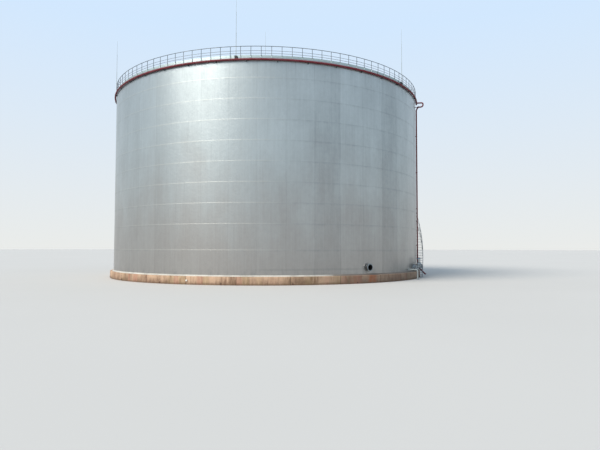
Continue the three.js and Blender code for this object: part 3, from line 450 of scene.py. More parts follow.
class Form:
    """The vertices and faces of a piece as they gather, each face with the number of its finish."""

    def __init__(self, place=TANK_AXIS):
        self.points = []
        self.faces = []
        self.numbers = []
        self.place = place
        self.number = 0

    def skin(self, outlines, closed=False):
        """Joins a row of like outlines. A row that isn't closed gets flat ends."""
        count, rows = len(outlines[0]), len(outlines)
        faces = []
        for row in range(rows if closed else rows - 1):
            here, there = row * count, (row + 1) % rows * count
            for corner in range(count):
                after = (corner + 1) % count
                faces.append((here + corner, here + after, there + after, there + corner))
        if not closed:
            last = (rows - 1) * count
            faces += [tuple(range(count - 1, -1, -1)), tuple(range(last, last + count))]
        first = len(self.points)
        self.points += [self.place @ Vector(point) for outline in outlines for point in outline]
        self.faces += [[first + corner for corner in face] for face in faces]
        self.numbers += [self.number] * len(faces)

    def arc(self, profile, start=0.0, end=360.0, step=ARC_STEP):
        """A closed profile of (radius, height) corners carried round the axis."""
        angles = spread(start, end, step)
        whole = end - start >= 360
        if whole:
            angles.pop()
        self.skin([[polar(radius, angle, z) for radius, z in profile] for angle in angles], whole)

    def round_bar(self, radius, z, size, start, end, sides=10, step=ARC_STEP):
        """A level round bar or pipe bent to the tank."""
        profile = [(radius + size * math.cos(turn), z + size * math.sin(turn)) for turn in turns(sides)]
        self.arc(profile, start, end, step)

    def tube(self, path, radius, sides=12, closed=False):
        """A round bar or pipe along a path. The radius is one number, or one for each point."""
        path = [Vector(point) for point in path]
        radii = radius if isinstance(radius, list) else [radius] * len(path)
        last = len(path) - 1
        ways = []
        for index in range(len(path)):
            before = path[index - 1] if index or closed else path[0]
            after = path[(index + 1) % len(path)] if index < last or closed else path[last]
            ways.append((after - before).normalized())
        side = ways[0].orthogonal().normalized()
        outlines = []
        for point, way, size in zip(path, ways, radii):
            side = (side - way * side.dot(way)).normalized()
            up = way.cross(side)
            outlines.append([
                point + side * size * math.cos(turn) + up * size * math.sin(turn) for turn in turns(sides)
            ])
        self.skin(outlines, closed)

    def strap(self, path, across, width, thickness):
        """A flat bar along a path, as wide as given across it."""
        path = [Vector(point) for point in path]
        outlines = []
        for index, point in enumerate(path):
            way = (path[min(index + 1, len(path) - 1)] - path[max(index - 1, 0)]).normalized()
            wide, thick = across * width / 2, way.cross(across).normalized() * thickness / 2
            left, right = point - wide, point + wide
            outlines.append([right + thick, left + thick, left - thick, right - thick])
        self.skin(outlines)

    def turned(self, profile, origin=(0, 0, 0), axis=UP, sides=24, bored=False):
        """A profile of (distance, radius) points turned about an axis. A bored one is a closed profile."""
        origin, axis = Vector(origin), axis.normalized()
        rays = spokes(axis, sides)
        if bored:
            self.skin([[origin + axis * far + ray * size for far, size in profile] for ray in rays], True)
        else:
            self.skin([[origin + axis * far + ray * size for ray in rays] for far, size in profile])

    def pin(self, start, end, radius, origin=(0, 0, 0), axis=UP, sides=12):
        """A plain round bar between two distances along an axis."""
        self.turned([(start, radius), (end, radius)], origin, axis, sides)

    def sleeve(self, start, end, inner, outer, origin=(0, 0, 0), axis=UP, sides=24):
        """A bored ring between two distances along an axis."""
        profile = [(start, outer), (end, outer), (end, inner), (start, inner)]
        self.turned(profile, origin, axis, sides, bored=True)

    def pipe_weld(self, pipe, half, crest, origin=(0, 0, 0), axis=UP, sides=20):
        """The bead of a weld round a pipe, with half its width at the foot and at the crest."""
        low, high = pipe - 0.004, pipe + 0.005
        self.turned([(-half, low), (-crest, high), (crest, high), (half, low)], origin, axis, sides)

    def block(self, low, high):
        """A box between two opposite corners."""
        (x0, y0, z0), (x1, y1, z1) = low, high
        self.skin([[(x, y0, z0), (x, y1, z0), (x, y1, z1), (x, y0, z1)] for x in (x0, x1)])

    def slab(self, inner, outer, half, low, high):
        """A box from one distance to another, as wide on both sides of the middle."""
        self.block((inner, -half, low), (outer, half, high))

    def prism(self, outline, thickness):
        """A plate of one outline of points, made thick along a vector."""
        outline, thickness = [Vector(point) for point in outline], Vector(thickness)
        self.skin([outline, [point + thickness for point in outline]])

    def nuts(self, count, circle, origin, axis, nut):
        """A circle of hexagon nuts on washers that stand on a face, with the ends of their studs."""
        width, height, stud = nut
        washer, shoulder = 0.12 * height, 0.9 * height
        axis = axis.normalized()
        for ray in spokes(axis, count):
            centre = Vector(origin) + ray * circle
            self.pin(0, washer, width * 0.62, centre, axis, 10)
            self.turned([(washer, width / 2), (shoulder, width / 2), (height, width * 0.42)], centre, axis, 6)
            if stud:
                self.turned([(shoulder, width * 0.27), (height + stud, width * 0.25)], centre, axis, 8)

    def pad(self, angle, z, inner, outer, thickness, floor=0.0, sides=48):
        """A round plate bent onto the shell, with a weld round its edge, cut off level at a floor."""
        profile = [
            (outer + 0.6 * thickness, 0.0), (outer, 0.7 * thickness), (outer - 0.2 * thickness, thickness),
            (inner + 0.8 * thickness, thickness), (inner, 1.9 * thickness), (inner, 0.0),
        ]
        outlines = []
        for turn in turns(sides, 0):
            outline = []
            for size, height in profile:
                sideways, level = size * math.cos(turn), max(z + size * math.sin(turn), floor)
                outline.append(polar(SKIN + height, angle + arc_degrees(sideways), level))
            outlines.append(outline)
        self.skin(outlines, True)


def spokes(axis, count):
    """Unit vectors square to an axis, evenly round it."""
    side = axis.orthogonal().normalized()
    up = axis.cross(side)
    return [side * math.cos(turn) + up * math.sin(turn) for turn in turns(count)]


def mesh_of(form, name):
    """A mesh of a form's faces, with their normals pointing out of it."""
    mesh = bpy.data.meshes.new(name)
    mesh.from_pydata(form.points, [], form.faces)
    mesh.polygons.foreach_set("material_index", form.numbers)
    surface = bmesh.new()
    surface.from_mesh(mesh)
    bmesh.ops.recalc_face_normals(surface, faces=surface.faces)
    surface.to_mesh(mesh)
    surface.free()
    return mesh


def place_object(name, data):
    made = bpy.data.objects.new(name, data)
    bpy.context.scene.collection.objects.link(made)
    return made


def make_piece(name, form, looks, stands_for=(), crease=35.0):
    """Makes an object of a form, with its finishes, on the tank."""
    mesh = mesh_of(form, name)
    for look in looks:
        mesh.materials.append(finish_named(look))
    made = place_object(name, mesh)
    smooth(made, crease)
    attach(made, "root")
    if stands_for:
        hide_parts(*stands_for)
    return made


def smooth(made, crease=35.0):
    """Shades an object smooth, with an edge wherever it turns by more than the crease."""
    made.data.shade_smooth()
    made.data.set_sharp_from_angle(angle=math.radians(crease))


def shade_round(mesh):
    """Points the normals of a round wall straight away from the axis, so that sectors meet unseen."""
    wall_share = 0.8
    normals = []
    for face in mesh.polygons:
        for index in face.vertices:
            spot = mesh.vertices[index].co
            away = Vector((spot.x, spot.y, 0)).normalized()
            along = face.normal.dot(away)
            on_wall = abs(along) > wall_share
            normals.append((away * along + UP * face.normal.z).normalized() if on_wall else face.normal)
    mesh.normals_split_custom_set(normals)


def cut_away(made, form):
    """Cuts a form's space out of an object."""
    cutter = place_object("cutter", mesh_of(form, "cutter"))
    modifier = made.modifiers.new("cut", "BOOLEAN")
    modifier.operation, modifier.solver, modifier.object = "DIFFERENCE", "EXACT", cutter
    graph = bpy.context.evaluated_depsgraph_get()
    result = bpy.data.meshes.new_from_object(made.evaluated_get(graph))
    made.modifiers.clear()
    made.data = result
    bpy.data.objects.remove(cutter)


# Finishes

# Sockets of the Mix node where it blends colours: two inputs and an output
MIX_FIRST, MIX_SECOND, MIX_COLOUR = 6, 7, 2


def math_method(operation, reflected=False):
    """A method that adds one Math node for its own value and any others."""

    def method(own, *others):
        values = (*others, own) if reflected else (own, *others)
        return own.finish.math(operation, *values)

    return method


class Shade:
    """A value, colour or vector in a finish's nodes. Arithmetic on a value adds Math nodes."""

    def __init__(self, finish, socket):
        self.finish = finish
        self.socket = socket

    __add__, __radd__ = math_method("ADD"), math_method("ADD", reflected=True)
    __sub__, __rsub__ = math_method("SUBTRACT"), math_method("SUBTRACT", reflected=True)
    __mul__, __rmul__ = math_method("MULTIPLY"), math_method("MULTIPLY", reflected=True)
    __truediv__, __rtruediv__ = math_method("DIVIDE"), math_method("DIVIDE", reflected=True)
    __mod__, __rmod__ = math_method("FLOORED_MODULO"), math_method("FLOORED_MODULO", reflected=True)
    __lt__, __gt__ = math_method("LESS_THAN"), math_method("LESS_THAN", reflected=True)
    __abs__ = math_method("ABSOLUTE")
    floor = math_method("FLOOR")
    least = math_method("MINIMUM")
    most = math_method("MAXIMUM")


class Finish:
    """A material's nodes, gathered round one Principled shader."""

    def __init__(self, name, constants):
        self.material = bpy.data.materials.new(name)
        self.material.use_nodes = True
        self.tree = self.material.node_tree
        self.shader = self.tree.nodes["Principled BSDF"]
        for socket, value in constants.items():
            self.shader.inputs[socket].default_value = value
        self.spot = self.node("ShaderNodeTexCoord", output="Object")

    def node(self, kind, settings=None, inputs=None, output=0):
        """Adds a node: its settings first, then the values or links of its sockets."""
        made = self.tree.nodes.new(kind)
        for name, value in (settings or {}).items():
            setattr(made, name, value)
        for name, value in (inputs or {}).items():
            self.join(value, made.inputs[name])
        return Shade(self, made.outputs[output])

    def join(self, value, socket):
        if isinstance(value, Shade):
            self.tree.links.new(value.socket, socket)
        else:
            socket.default_value = value

    def math(self, operation, *values):
        return self.node("ShaderNodeMath", {"operation": operation}, dict(enumerate(values)))

    def between(self, value, low, high):
        """0 where the value is at low, 1 where it is at high, and smooth between."""
        inputs = {"Value": value, "From Min": low, "From Max": high}
        return self.node("ShaderNodeMapRange", {"interpolation_type": "SMOOTHSTEP"}, inputs)

    def noise(self, scale, rise=1.0, detail=4.0, rough=0.55):
        """Soft noise from 0 to 1, drawn out upwards by a rise under 1."""
        spot = self.node("ShaderNodeVectorMath", {"operation": "MULTIPLY"}, {0: self.spot, 1: (1, 1, rise)})
        inputs = {"Vector": spot, "Scale": scale, "Detail": detail, "Roughness": rough}
        return self.node("ShaderNodeTexNoise", {}, inputs)

    def sway(self, scale, rise=1.0, detail=4.0, rough=0.55):
        """Soft noise about 0."""
        return self.noise(scale, rise, detail, rough) - 0.5

    def pick(self, number):
        """A random value from 0 to 1, always the same for the same number."""
        return self.node("ShaderNodeTexWhiteNoise", {"noise_dimensions": "1D"}, {"W": number})

    def blend(self, share, first, second):
        """A colour between two others."""
        inputs = {0: share, MIX_FIRST: first, MIX_SECOND: second}
        return self.node("ShaderNodeMix", {"data_type": "RGBA"}, inputs, MIX_COLOUR)

    def coat(self, base, share, colour, strength=1.0):
        """A base with a share of a colour laid over it."""
        return self.blend(share, base, paint(colour, strength))

    def around(self):
        """The polar angle in degrees, the distance from the axis, and the height."""
        x, y, z = (self.node("ShaderNodeSeparateXYZ", {}, {"Vector": self.spot}, output) for output in "XYZ")
        angle = self.math("ARCTAN2", y, x) * math.degrees(1)
        return angle, self.math("SQRT", x * x + y * y), z

    def near(self, value, spacing, reach):
        """1 where the value is a whole number of spacings, 0 beyond the reach."""
        past = value % spacing
        return self.between(past.least(spacing - past), reach, 0.0)

    def feed(self, **links):
        for socket, value in links.items():
            self.join(value, self.shader.inputs[socket.replace("_", " ")])

    def raise_by(self, height, distance, strength):
        """Bumps the surface by a height from 0 to 1 over a distance."""
        inputs = {"Height": height, "Distance": distance, "Strength": strength}
        self.feed(Normal=self.node("ShaderNodeBump", {}, inputs))


def paint(colour, strength=1.0):
    """A colour made darker or lighter, as a socket takes it."""
    return (*(part * strength for part in colour), 1.0)


def silver_paint(colours):
    """Aluminium paint in upright lanes, painted shade under the level welds, a painted highlight on their lit
    side.
    """
    finish = Finish("silver_finish", {"Metallic": 0.82})
    angle, _, z = finish.around()
    height = z - SHELL_FOOT
    course = (height < LOW_COURSES_TOP) * (LOW_COURSE - COURSE) + COURSE
    downward = LOW_COURSES_TOP - height
    under_weld = downward % course
    number = (downward / course).floor()

    across = angle + finish.sway(0.6, 0.35) * 1.1 - LANE_START
    lane_tone = finish.pick((across / LANE_ANGLE).floor() % LANES) - 0.5
    lane_edge = finish.near(across, LANE_ANGLE, 0.28)
    cloud = finish.sway(0.32, 0.55, 3.0)
    streak = finish.sway(5.0, 0.035, 5.0, 0.7)
    mottle = finish.sway(2.6, 0.8, 6.0, 0.7)
    grain = finish.sway(22.0, detail=3.0)
    shine = 0.55 + lane_tone * 0.42 + cloud * 1.1 + streak * 0.75 + mottle * 0.7 + grain * 0.35
    shine = (shine - lane_edge * 0.22).most(0.0).least(1.0)
    # Lower down the paint turns to a warmer dusty silver: dust, and a painted reflection of bluer sky above
    # and warmer floor below
    dust = finish.between(height + cloud * 9.0 + streak * 3.0, 15.0, 0.0)
    clean = finish.blend(dust, paint(colours.silver), paint(colours.silver_low))
    worn = finish.blend(dust, paint(colours.silver_dull), paint(colours.silver_low, 0.78))
    base = finish.blend(shine, worn, clean)

    # A dark band under each level weld, uneven in strength: painted shadow of the weld
    uneven = finish.noise(1.3, 0.2, 3.0)
    run = finish.between(under_weld, 0.26, 0.0) * finish.between(uneven, 0.3, 0.75) * 0.26
    # Each level weld is a dull line, and on the side facing the key light a pale painted highlight
    lit_side = finish.between(abs(angle % 360 - LIT_WELD_SIDE_ANGLE), 38.0, 26.0)
    seam = finish.between(under_weld.least(course - under_weld), lit_side * 0.01 + 0.035, 0.012)
    seam_tone = finish.blend(lit_side, paint(colours.silver_dull, 0.85), paint(colours.pale))
    upright = finish.near(angle - PLATE_START - number * PLATE_SHIFT, PLATE_ANGLE, 0.1)
    base = finish.coat(base, run + upright * 0.18, colours.silver_dull, 0.62)
    base = finish.blend(seam * 0.3, base, seam_tone)

    drip = finish.noise(3.4, 0.02, 4.0, 0.75)
    below_ring = finish.between(z, RING_Z - 2.6, RING_Z - 0.1) * finish.between(drip, 0.52, 0.74)
    foot = finish.between(height, 0.9, 0.05) * finish.between(finish.noise(2.2, 0.5, 5.0), 0.42, 0.72)
    tide_side = finish.between(abs(angle - TIDE_ANGLE), 22.0, 12.0)
    tide = finish.between(abs(height - TIDE_HEIGHT + cloud * 0.2), 0.16, 0.03) * tide_side
    base = finish.coat(base, below_ring * 0.3 + foot * 0.35 + tide * 0.2, colours.silver_dull, 0.55)
    # Painted shade low on the shell round the valves, for their shadows and darkened reflections
    valve_side = finish.between(abs(angle - SHADE_AND_DIRT_SIDE_ANGLE), 34.0, 14.0)
    valve_shade = valve_side * finish.between(height + cloud * 1.5, 1.9, 0.3)
    # A darker ring round the manway's neck, set off to one side: painted shadow of the neck, with grime
    aside = (angle - MANWAY_ANGLE) * DEGREE_LENGTH + MANWAY_SHADE_SHIFT
    above = z - MANWAY_Z
    from_middle = finish.math("SQRT", aside * aside + above * above)
    manway_shade = finish.between(from_middle, MANWAY_PAD * 0.95, MANWAY_FLANGE)
    base = finish.coat(base, valve_shade * 0.45 + manway_shade * 0.35, colours.silver_dull, 0.5)
    freckle = finish.between(finish.noise(9.0, detail=2.0), 0.715, 0.76) * finish.between(cloud, -0.02, 0.16)
    base = finish.coat(base, freckle * 0.35, colours.rust)
    finish.feed(Base_Color=base, Roughness=0.46 - shine * 0.12 + run * 0.3)
    finish.raise_by(mottle * 0.6 + grain * 0.25 + cloud, 0.03, 0.5)
    return finish.material


def painted_steel(name, colours, metal=0.2, rough=0.5, worn=0.62, fade=0.25, gleam=0.5):
    """Paint on steel: faded in patches, with streaks of grime and rust breaking through in spots."""
    finish = Finish(f"{name}_finish", {"Metallic": metal, "Specular IOR Level": gleam})
    colour, chalk = getattr(colours, name), 0.6
    patch = finish.noise(1.4, 0.5, 5.0, 0.6)
    grime = finish.noise(7.0, 0.25, 5.0, 0.65)
    spot = finish.noise(16.0, detail=6.0, rough=0.7)
    faded = [part + (chalk - part) * fade for part in colour]
    base = finish.blend(finish.between(patch, 0.35, 0.72), paint(colour), paint(faded))
    base = finish.coat(base, finish.between(grime, 0.45, 0.85) * 0.5, colour, 0.5)
    bare = finish.between(spot * 0.7 + patch * 0.3, worn, worn + 0.05)
    base = finish.coat(base, bare * 0.8, colours.rust)
    finish.feed(Base_Color=base, Roughness=rough + (grime - 0.5) * 0.3 + bare * 0.3)
    finish.raise_by(spot - bare * 0.4, 0.004, 0.5)
    return finish.material


def roof_paint(colours):
    """Roof paint, chalky and rusty in places, with a tone of its own on each stretch of plates."""
    finish = Finish("roof_finish", {"Metallic": 0.25})
    angle, distance, _ = finish.around()
    row_shift = 31.0
    plate = finish.pick((angle / ROOF_PLATE_ANGLE).floor() + (distance / ROOF_ROW).floor() * row_shift)
    dust = finish.noise(0.5, detail=5.0)
    speck = finish.noise(6.0, detail=6.0, rough=0.7)
    share = finish.between(plate * 0.35 + dust * 0.65 + (speck - 0.5) * 0.3, 0.25, 0.8)
    base = finish.blend(share, paint(colours.roof, 0.88), paint(colours.roof, 1.08))
    rusty = finish.between(speck * 0.5 + dust * 0.5, 0.63, 0.68)
    base = finish.coat(base, rusty * 0.45, colours.rust, 0.9)
    finish.feed(Base_Color=base, Roughness=0.58 + (dust - 0.5) * 0.2)
    finish.raise_by(dust + speck * 0.2, 0.02, 0.6)
    return finish.material


def ring_concrete(colours):
    """Concrete cast against boards: bleached and tan, brown with run-off, rusty under the weep holes."""
    finish = Finish("wall_finish", {"Roughness": 0.9})
    angle, _, z = finish.around()
    cloud = finish.noise(0.45, 1.4, 5.0, 0.6)
    streak = finish.noise(4.2, 0.16, 5.0, 0.7)
    grit = finish.noise(34.0, detail=5.0, rough=0.7)
    stain = cloud * 0.65 + streak * 0.5 + finish.between(z, 0.75, 0.0) * 0.12 + (grit - 0.5) * 0.2
    base = finish.blend(finish.between(stain, 0.42, 0.82), paint(colours.concrete), paint(colours.stained))

    wander = finish.sway(1.4, 0.3) * 3.0
    strip = finish.pick(((angle + wander) / WALL_STRIP_ANGLE).floor())
    base = finish.coat(base, finish.between(strip, 0.62, 1.0) * 0.45, colours.pink, 1.1)
    base = finish.coat(base, finish.between(strip, 0.38, 0.0) * 0.35, colours.olive, 0.9)
    # Darker on the side towards the stair: painted shade, with dirt
    wall_shade_and_dirt = finish.between(abs(angle - SHADE_AND_DIRT_SIDE_ANGLE) + (streak - 0.5) * 14.0, 62.0, 34.0)
    base = finish.coat(base, wall_shade_and_dirt * 0.6, colours.dirt_and_shade)
    damp = finish.between(z + (cloud - 0.5) * 0.3, 0.24, 0.06)
    base = finish.coat(base, damp * 0.6, colours.stained, 0.6)

    weep = finish.near(angle - FIRST_WEEP_HOLE + (streak - 0.5) * 0.35, WEEP_HOLE_STEP, 0.3)
    below_weep = finish.between(z, WEEP_HOLE_Z + 0.05, WEEP_HOLE_Z - 0.05)
    base = finish.coat(base, weep * below_weep * 0.7, colours.rust, 0.7)
    run = finish.between(streak, 0.56, 0.7) * finish.between(z + (streak - 0.5), 0.05, 0.8)
    base = finish.coat(base, run * 0.5, colours.rust, 0.85)
    ragged = (streak - 0.5) * 3.0 + (grit - 0.5) * 1.5
    low_edge = finish.between(z + (cloud - 0.5) * 0.5, 0.02, 0.2)
    rusty = finish.between(abs(angle - RUST_PATCH_ANGLE + ragged), 2.2, 1.2) * low_edge
    pink = finish.between(abs(angle - PINK_PATCH_ANGLE + ragged), 2.4, 1.0)
    base = finish.coat(base, rusty * finish.between(streak, 0.25, 0.6) * 0.7, colours.rust, 1.3)
    base = finish.coat(base, pink * finish.between(streak, 0.3, 0.6) * 0.55, colours.pink, 0.8)

    joint = finish.near(angle - FIRST_WALL_JOINT, WALL_JOINT_STEP, 0.13)
    base = finish.coat(base, joint * 0.9, colours.stained, 0.3)
    board_edge = finish.near(z, BOARD, 0.008)
    finish.feed(Base_Color=base)
    finish.raise_by(cloud * 0.6 + grit * 0.4 - board_edge * 0.5, 0.03, 0.7)
    return finish.material


def seal_mastic(colours):
    """Pale mastic, trowelled by hand and weathered grey in places."""
    finish = Finish("seal_finish", {"Roughness": 0.7})
    angle, _, _ = finish.around()
    patch = finish.noise(0.8, detail=5.0)
    smear = finish.noise(9.0)
    share = finish.between(patch * 0.7 + smear * 0.3, 0.38, 0.7)
    base = finish.blend(share, paint(colours.seal), paint(colours.seal, 0.6))
    # Darker on the side towards the stair: painted shade, in the dirt colour
    seal_shade = finish.between(abs(angle - SHADE_AND_DIRT_SIDE_ANGLE) + (patch - 0.5) * 16.0, 55.0, 45.0)
    finish.feed(Base_Color=finish.coat(base, seal_shade * 0.9, colours.dirt_and_shade))
    finish.raise_by(smear, 0.015, 0.6)
    return finish.material


def packed_fill(colours):
    """Packed gravel and sand."""
    finish = Finish("fill_finish", {"Roughness": 0.95})
    stones = finish.node("ShaderNodeTexVoronoi", {}, {"Vector": finish.spot, "Scale": 14.0})
    share = finish.between(finish.noise(3.0, detail=5.0), 0.35, 0.7)
    finish.feed(Base_Color=finish.blend(share, paint(colours.fill, 0.7), paint(colours.fill, 1.1)))
    finish.raise_by(1 - stones, 0.03, 0.8)
    return finish.material


def bare_steel(colours):
    """Bolts, studs and stems: dark steel with a skin of rust."""
    finish = Finish("steel_finish", {"Metallic": 0.6})
    rust = finish.noise(24.0, detail=5.0, rough=0.7)
    base = finish.blend(finish.between(rust, 0.4, 0.62), paint(colours.steel), paint(colours.rust, 0.8))
    finish.feed(Base_Color=base, Roughness=0.45 + rust * 0.4)
    finish.raise_by(rust, 0.002, 0.5)
    return finish.material


FINISHES = {
    "silver": silver_paint, "roof": roof_paint, "wall": ring_concrete,
    "seal": seal_mastic, "fill": packed_fill, "steel": bare_steel,
}
PAINTED_STEEL = {
    "rim": {"metal": 0.75, "rough": 0.48, "worn": 0.66, "fade": 0.12},
    "rail": {"metal": 0.3, "rough": 0.45},
    "zinc": {"metal": 0.35, "worn": 0.7, "fade": 0.1},
    "red": {"metal": 0.0, "rough": 0.6, "worn": 0.7, "fade": 0.04, "gleam": 0.25},
    "grey": {"metal": 0.1, "worn": 0.66, "fade": 0.1, "gleam": 0.35},
    "stair": {"metal": 0.25, "worn": 0.6},
    "pale": {"metal": 0.0, "worn": 0.8, "fade": 0.1},
    "black": {"metal": 0.0, "rough": 0.7, "worn": 0.7, "fade": 0.02},
    "blue": {"metal": 0.05, "rough": 0.4, "worn": 0.64, "fade": 0.15},
    "dark": {"rough": 0.45, "fade": 0.1},
}


def finish_named(name):
    """The material of a finish, made the first time that it is asked for."""
    made = bpy.data.materials.get(f"{name}_finish")
    if made:
        return made
    colours = bpy.context.scene.tank_colours
    if name in FINISHES:
        return FINISHES[name](colours)
    return painted_steel(name, colours, **PAINTED_STEEL[name])


def dress(node, finish):
    """Gives a solid of the frame a finish of its own."""
    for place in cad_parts[node].material_slots:
        place.link = "OBJECT"
        place.material = finish_named(finish)


# Foundation


def wall_outlines(joint_depth):
    """The ring wall's section at each step round it, drawn in at its upright joints."""
    half = arc_degrees(WALL_JOINT_HALF)
    steps = []
    for number in range(WALL_JOINTS):
        joint = FIRST_WALL_JOINT + number * WALL_JOINT_STEP
        steps += [(joint - 2 * half, 0.0), (joint - half, joint_depth), (joint + half, joint_depth)]
        plain = spread(joint + 2 * half, joint + WALL_JOINT_STEP - 3 * half, ARC_STEP)
        steps += [(angle, 0.0) for angle in plain]
    outlines = []
    for angle, depth in steps:
        outer = WALL_OUTER - depth
        section = [
            (outer, 0), (outer, WALL_TOP - WALL_BEVEL), (outer - WALL_BEVEL, WALL_TOP),
            (WALL_INNER, WALL_TOP), (WALL_INNER, 0),
        ]
        outlines.append([polar(distance, angle, z) for distance, z in section])
    return outlines


class TANK_OT_foundation(bpy.types.Operator):
    """Makes the concrete ring wall with its joints and weep pipes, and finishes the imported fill"""

    bl_idname = "tank.foundation"
    bl_label = "Ring wall"

    def execute(self, context):
        wall = Form()
        wall.skin(wall_outlines(context.scene.tank_sizes.joint_depth), True)
        make_piece("ring_beam", wall, ["wall"], ["ring_wall"])

        pipes = Form()
        for number in range(WEEP_HOLES):
            pipes.place = outward(FIRST_WEEP_HOLE + number * WEEP_HOLE_STEP, WALL_OUTER, WEEP_HOLE_Z)
            pipes.number = 0
            pipes.sleeve(-0.05, 0.03, WEEP_BORE, WEEP_PIPE, axis=OUT, sides=16)
            # A black plug just inside each pipe's mouth: painted shade of the hole
            pipes.number = 1
            pipes.pin(-0.01, 0.006, WEEP_BORE - 0.001, axis=OUT, sides=16)
        pipes.place = outward(STUB_ANGLE, WALL_OUTER, STUB_Z)
        pipes.number = 2
        stub = [(-0.02, STUB_PIPE), (0.05, STUB_PIPE), (0.05, STUB_CAP), (0.1, STUB_CAP), (0.108, STUB_PIPE)]
        pipes.turned(stub, axis=OUT)
        make_piece("weep_pipes", pipes, ["steel", "black", "pale"])

        dress("foundation_fill", "fill")
        return {"FINISHED"}


class TANK_OT_seal(bpy.types.Operator):
    """Makes the sloped mastic seal at the foot of the shell, and finishes the bottom plate"""

    bl_idname = "tank.seal"
    bl_label = "Foot seal"

    def execute(self, context):
        hand = random.Random(SEAL_SEED)
        low, outer = WALL_TOP + CLEARANCE, RADIUS + SEAL_WIDTH
        outlines = []
        for angle in range(360):
            slump = hand.uniform(-0.012, 0.006)
            section = [
                (SKIN, 0), (outer + slump, 0), (outer + slump - 0.004, 0.014), (RADIUS + 0.1 + slump, 0.034),
                (RADIUS + 0.045, 0.075 + slump), (RADIUS + 0.014, SEAL_HEIGHT - 0.01), (SKIN, SEAL_HEIGHT),
            ]
            outlines.append([polar(distance, angle, low + rise) for distance, rise in section])
        seal = Form()
        seal.skin(outlines, True)
        make_piece("foot_seal", seal, ["seal"], ["seal_skirt"], crease=50)
        dress("bottom_plate", "silver")
        return {"FINISHED"}


# Shell


def bead_section(sizes):
    """A weld bead's corners: the place across it, and the height."""
    half, height = sizes.weld_width / 2, sizes.weld_height
    return [(-half, 0.0), (-half / 2, 0.75 * height), (0.0, height), (half / 2, 0.75 * height), (half, 0.0)]


def shell_profile(bead):
    """The shell's section from its foot, with a bead at each level weld."""
    profile = [(RADIUS, SHELL_FOOT)]
    for joint in COURSE_JOINTS:
        profile += [(RADIUS + rise, SHELL_FOOT + joint + across) for across, rise in bead]
    inner = RADIUS - SHELL_THICKNESS
    return [*profile, (RADIUS, SHELL_TOP), (inner, SHELL_TOP), (inner, SHELL_FOOT)]


def upright_welds():
    """The polar angle, foot and top of each upright weld between the plates of a course."""
    levels = [0.0, *COURSE_JOINTS, SHELL_TOP - SHELL_FOOT]
    welds = []
    for low, high in zip(levels, levels[1:]):
        course = LOW_COURSE if high <= LOW_COURSES_TOP else COURSE
        number = math.floor((LOW_COURSES_TOP - (low + high) / 2) / course)
        start = PLATE_START + number * PLATE_SHIFT
        for turn in range(int(360 / PLATE_ANGLE)):
            welds.append((start + turn * PLATE_ANGLE, SHELL_FOOT + low, SHELL_FOOT + high))
    return welds


class TANK_OT_shell(bpy.types.Operator):
    """Makes the shell's plating in sectors, with level and upright weld beads and the manway's opening"""

    bl_idname = "tank.shell"
    bl_label = "Shell"

    def execute(self, context):
        bead = bead_section(context.scene.tank_sizes)
        profile = shell_profile(bead)
        for sector in range(SECTORS):
            start = FIRST_SECTOR + sector * SECTOR_ANGLE
            plating = Form()
            plating.arc(profile, start, start + SECTOR_ANGLE)
            made = make_piece(f"shell_plating_{sector + 1}", plating, ["silver"], SHELL_NODES)
            if sector == 0:
                hole = Form(outward(MANWAY_ANGLE))
                hole.pin(RADIUS - 0.3, RADIUS + 0.3, MANWAY_HOLE, (0, 0, MANWAY_Z), OUT, 48)
                cut_away(made, hole)
            shade_round(made.data)

        half, root = bead[-1][0], -0.004
        outline = [(root, -half), *((rise, across) for across, rise in bead), (root, half)]
        beads = Form()
        for angle, low, high in upright_welds():
            beads.place = outward(angle, RADIUS)
            beads.skin([[(x, y, z) for x, y in outline] for z in (low + half, high - half)])
        make_piece("upright_welds", beads, ["silver"], crease=60)
        return {"FINISHED"}


# Roof and rim


def dome_top(distance):
    """The height of the roof plates' upper face at a distance from the axis."""
    base = math.sqrt(DOME_RADIUS**2 - ROOF_EDGE**2)
    return CURB_TOP + CLEARANCE + math.sqrt(DOME_RADIUS**2 - distance**2) - base + ROOF_THICKNESS


def add_roof_plate(form, row, number, lap):
    """One plate of a row. Its lower edge laps the row below, and every second one laps its neighbours."""
    outer, inner, count = row
    width = 360 / count
    sideways, lift = (lap / 2, ROOF_PLATE) if number % 2 == 0 else (0.0, 0.0)
    low = outer if outer == ROOF_EDGE else outer + lap
    centre = GORE_START + (number + 0.5) * width
    outlines = []
    for share in spread(-0.5, 0.5, 0.1):
        upper, lower = [], []
        for distance in spread(low, inner, 0.75):
            angle = centre + share * (width + 2 * arc_degrees(sideways, distance))
            z = dome_top(distance) + ROOF_ROW_RISE * (distance - inner) / (outer - inner) + lift
            upper.append(polar(distance, angle, z))
            lower.append(polar(distance, angle, z - ROOF_PLATE))
        outlines.append(upper + lower[::-1])
    form.skin(outlines)


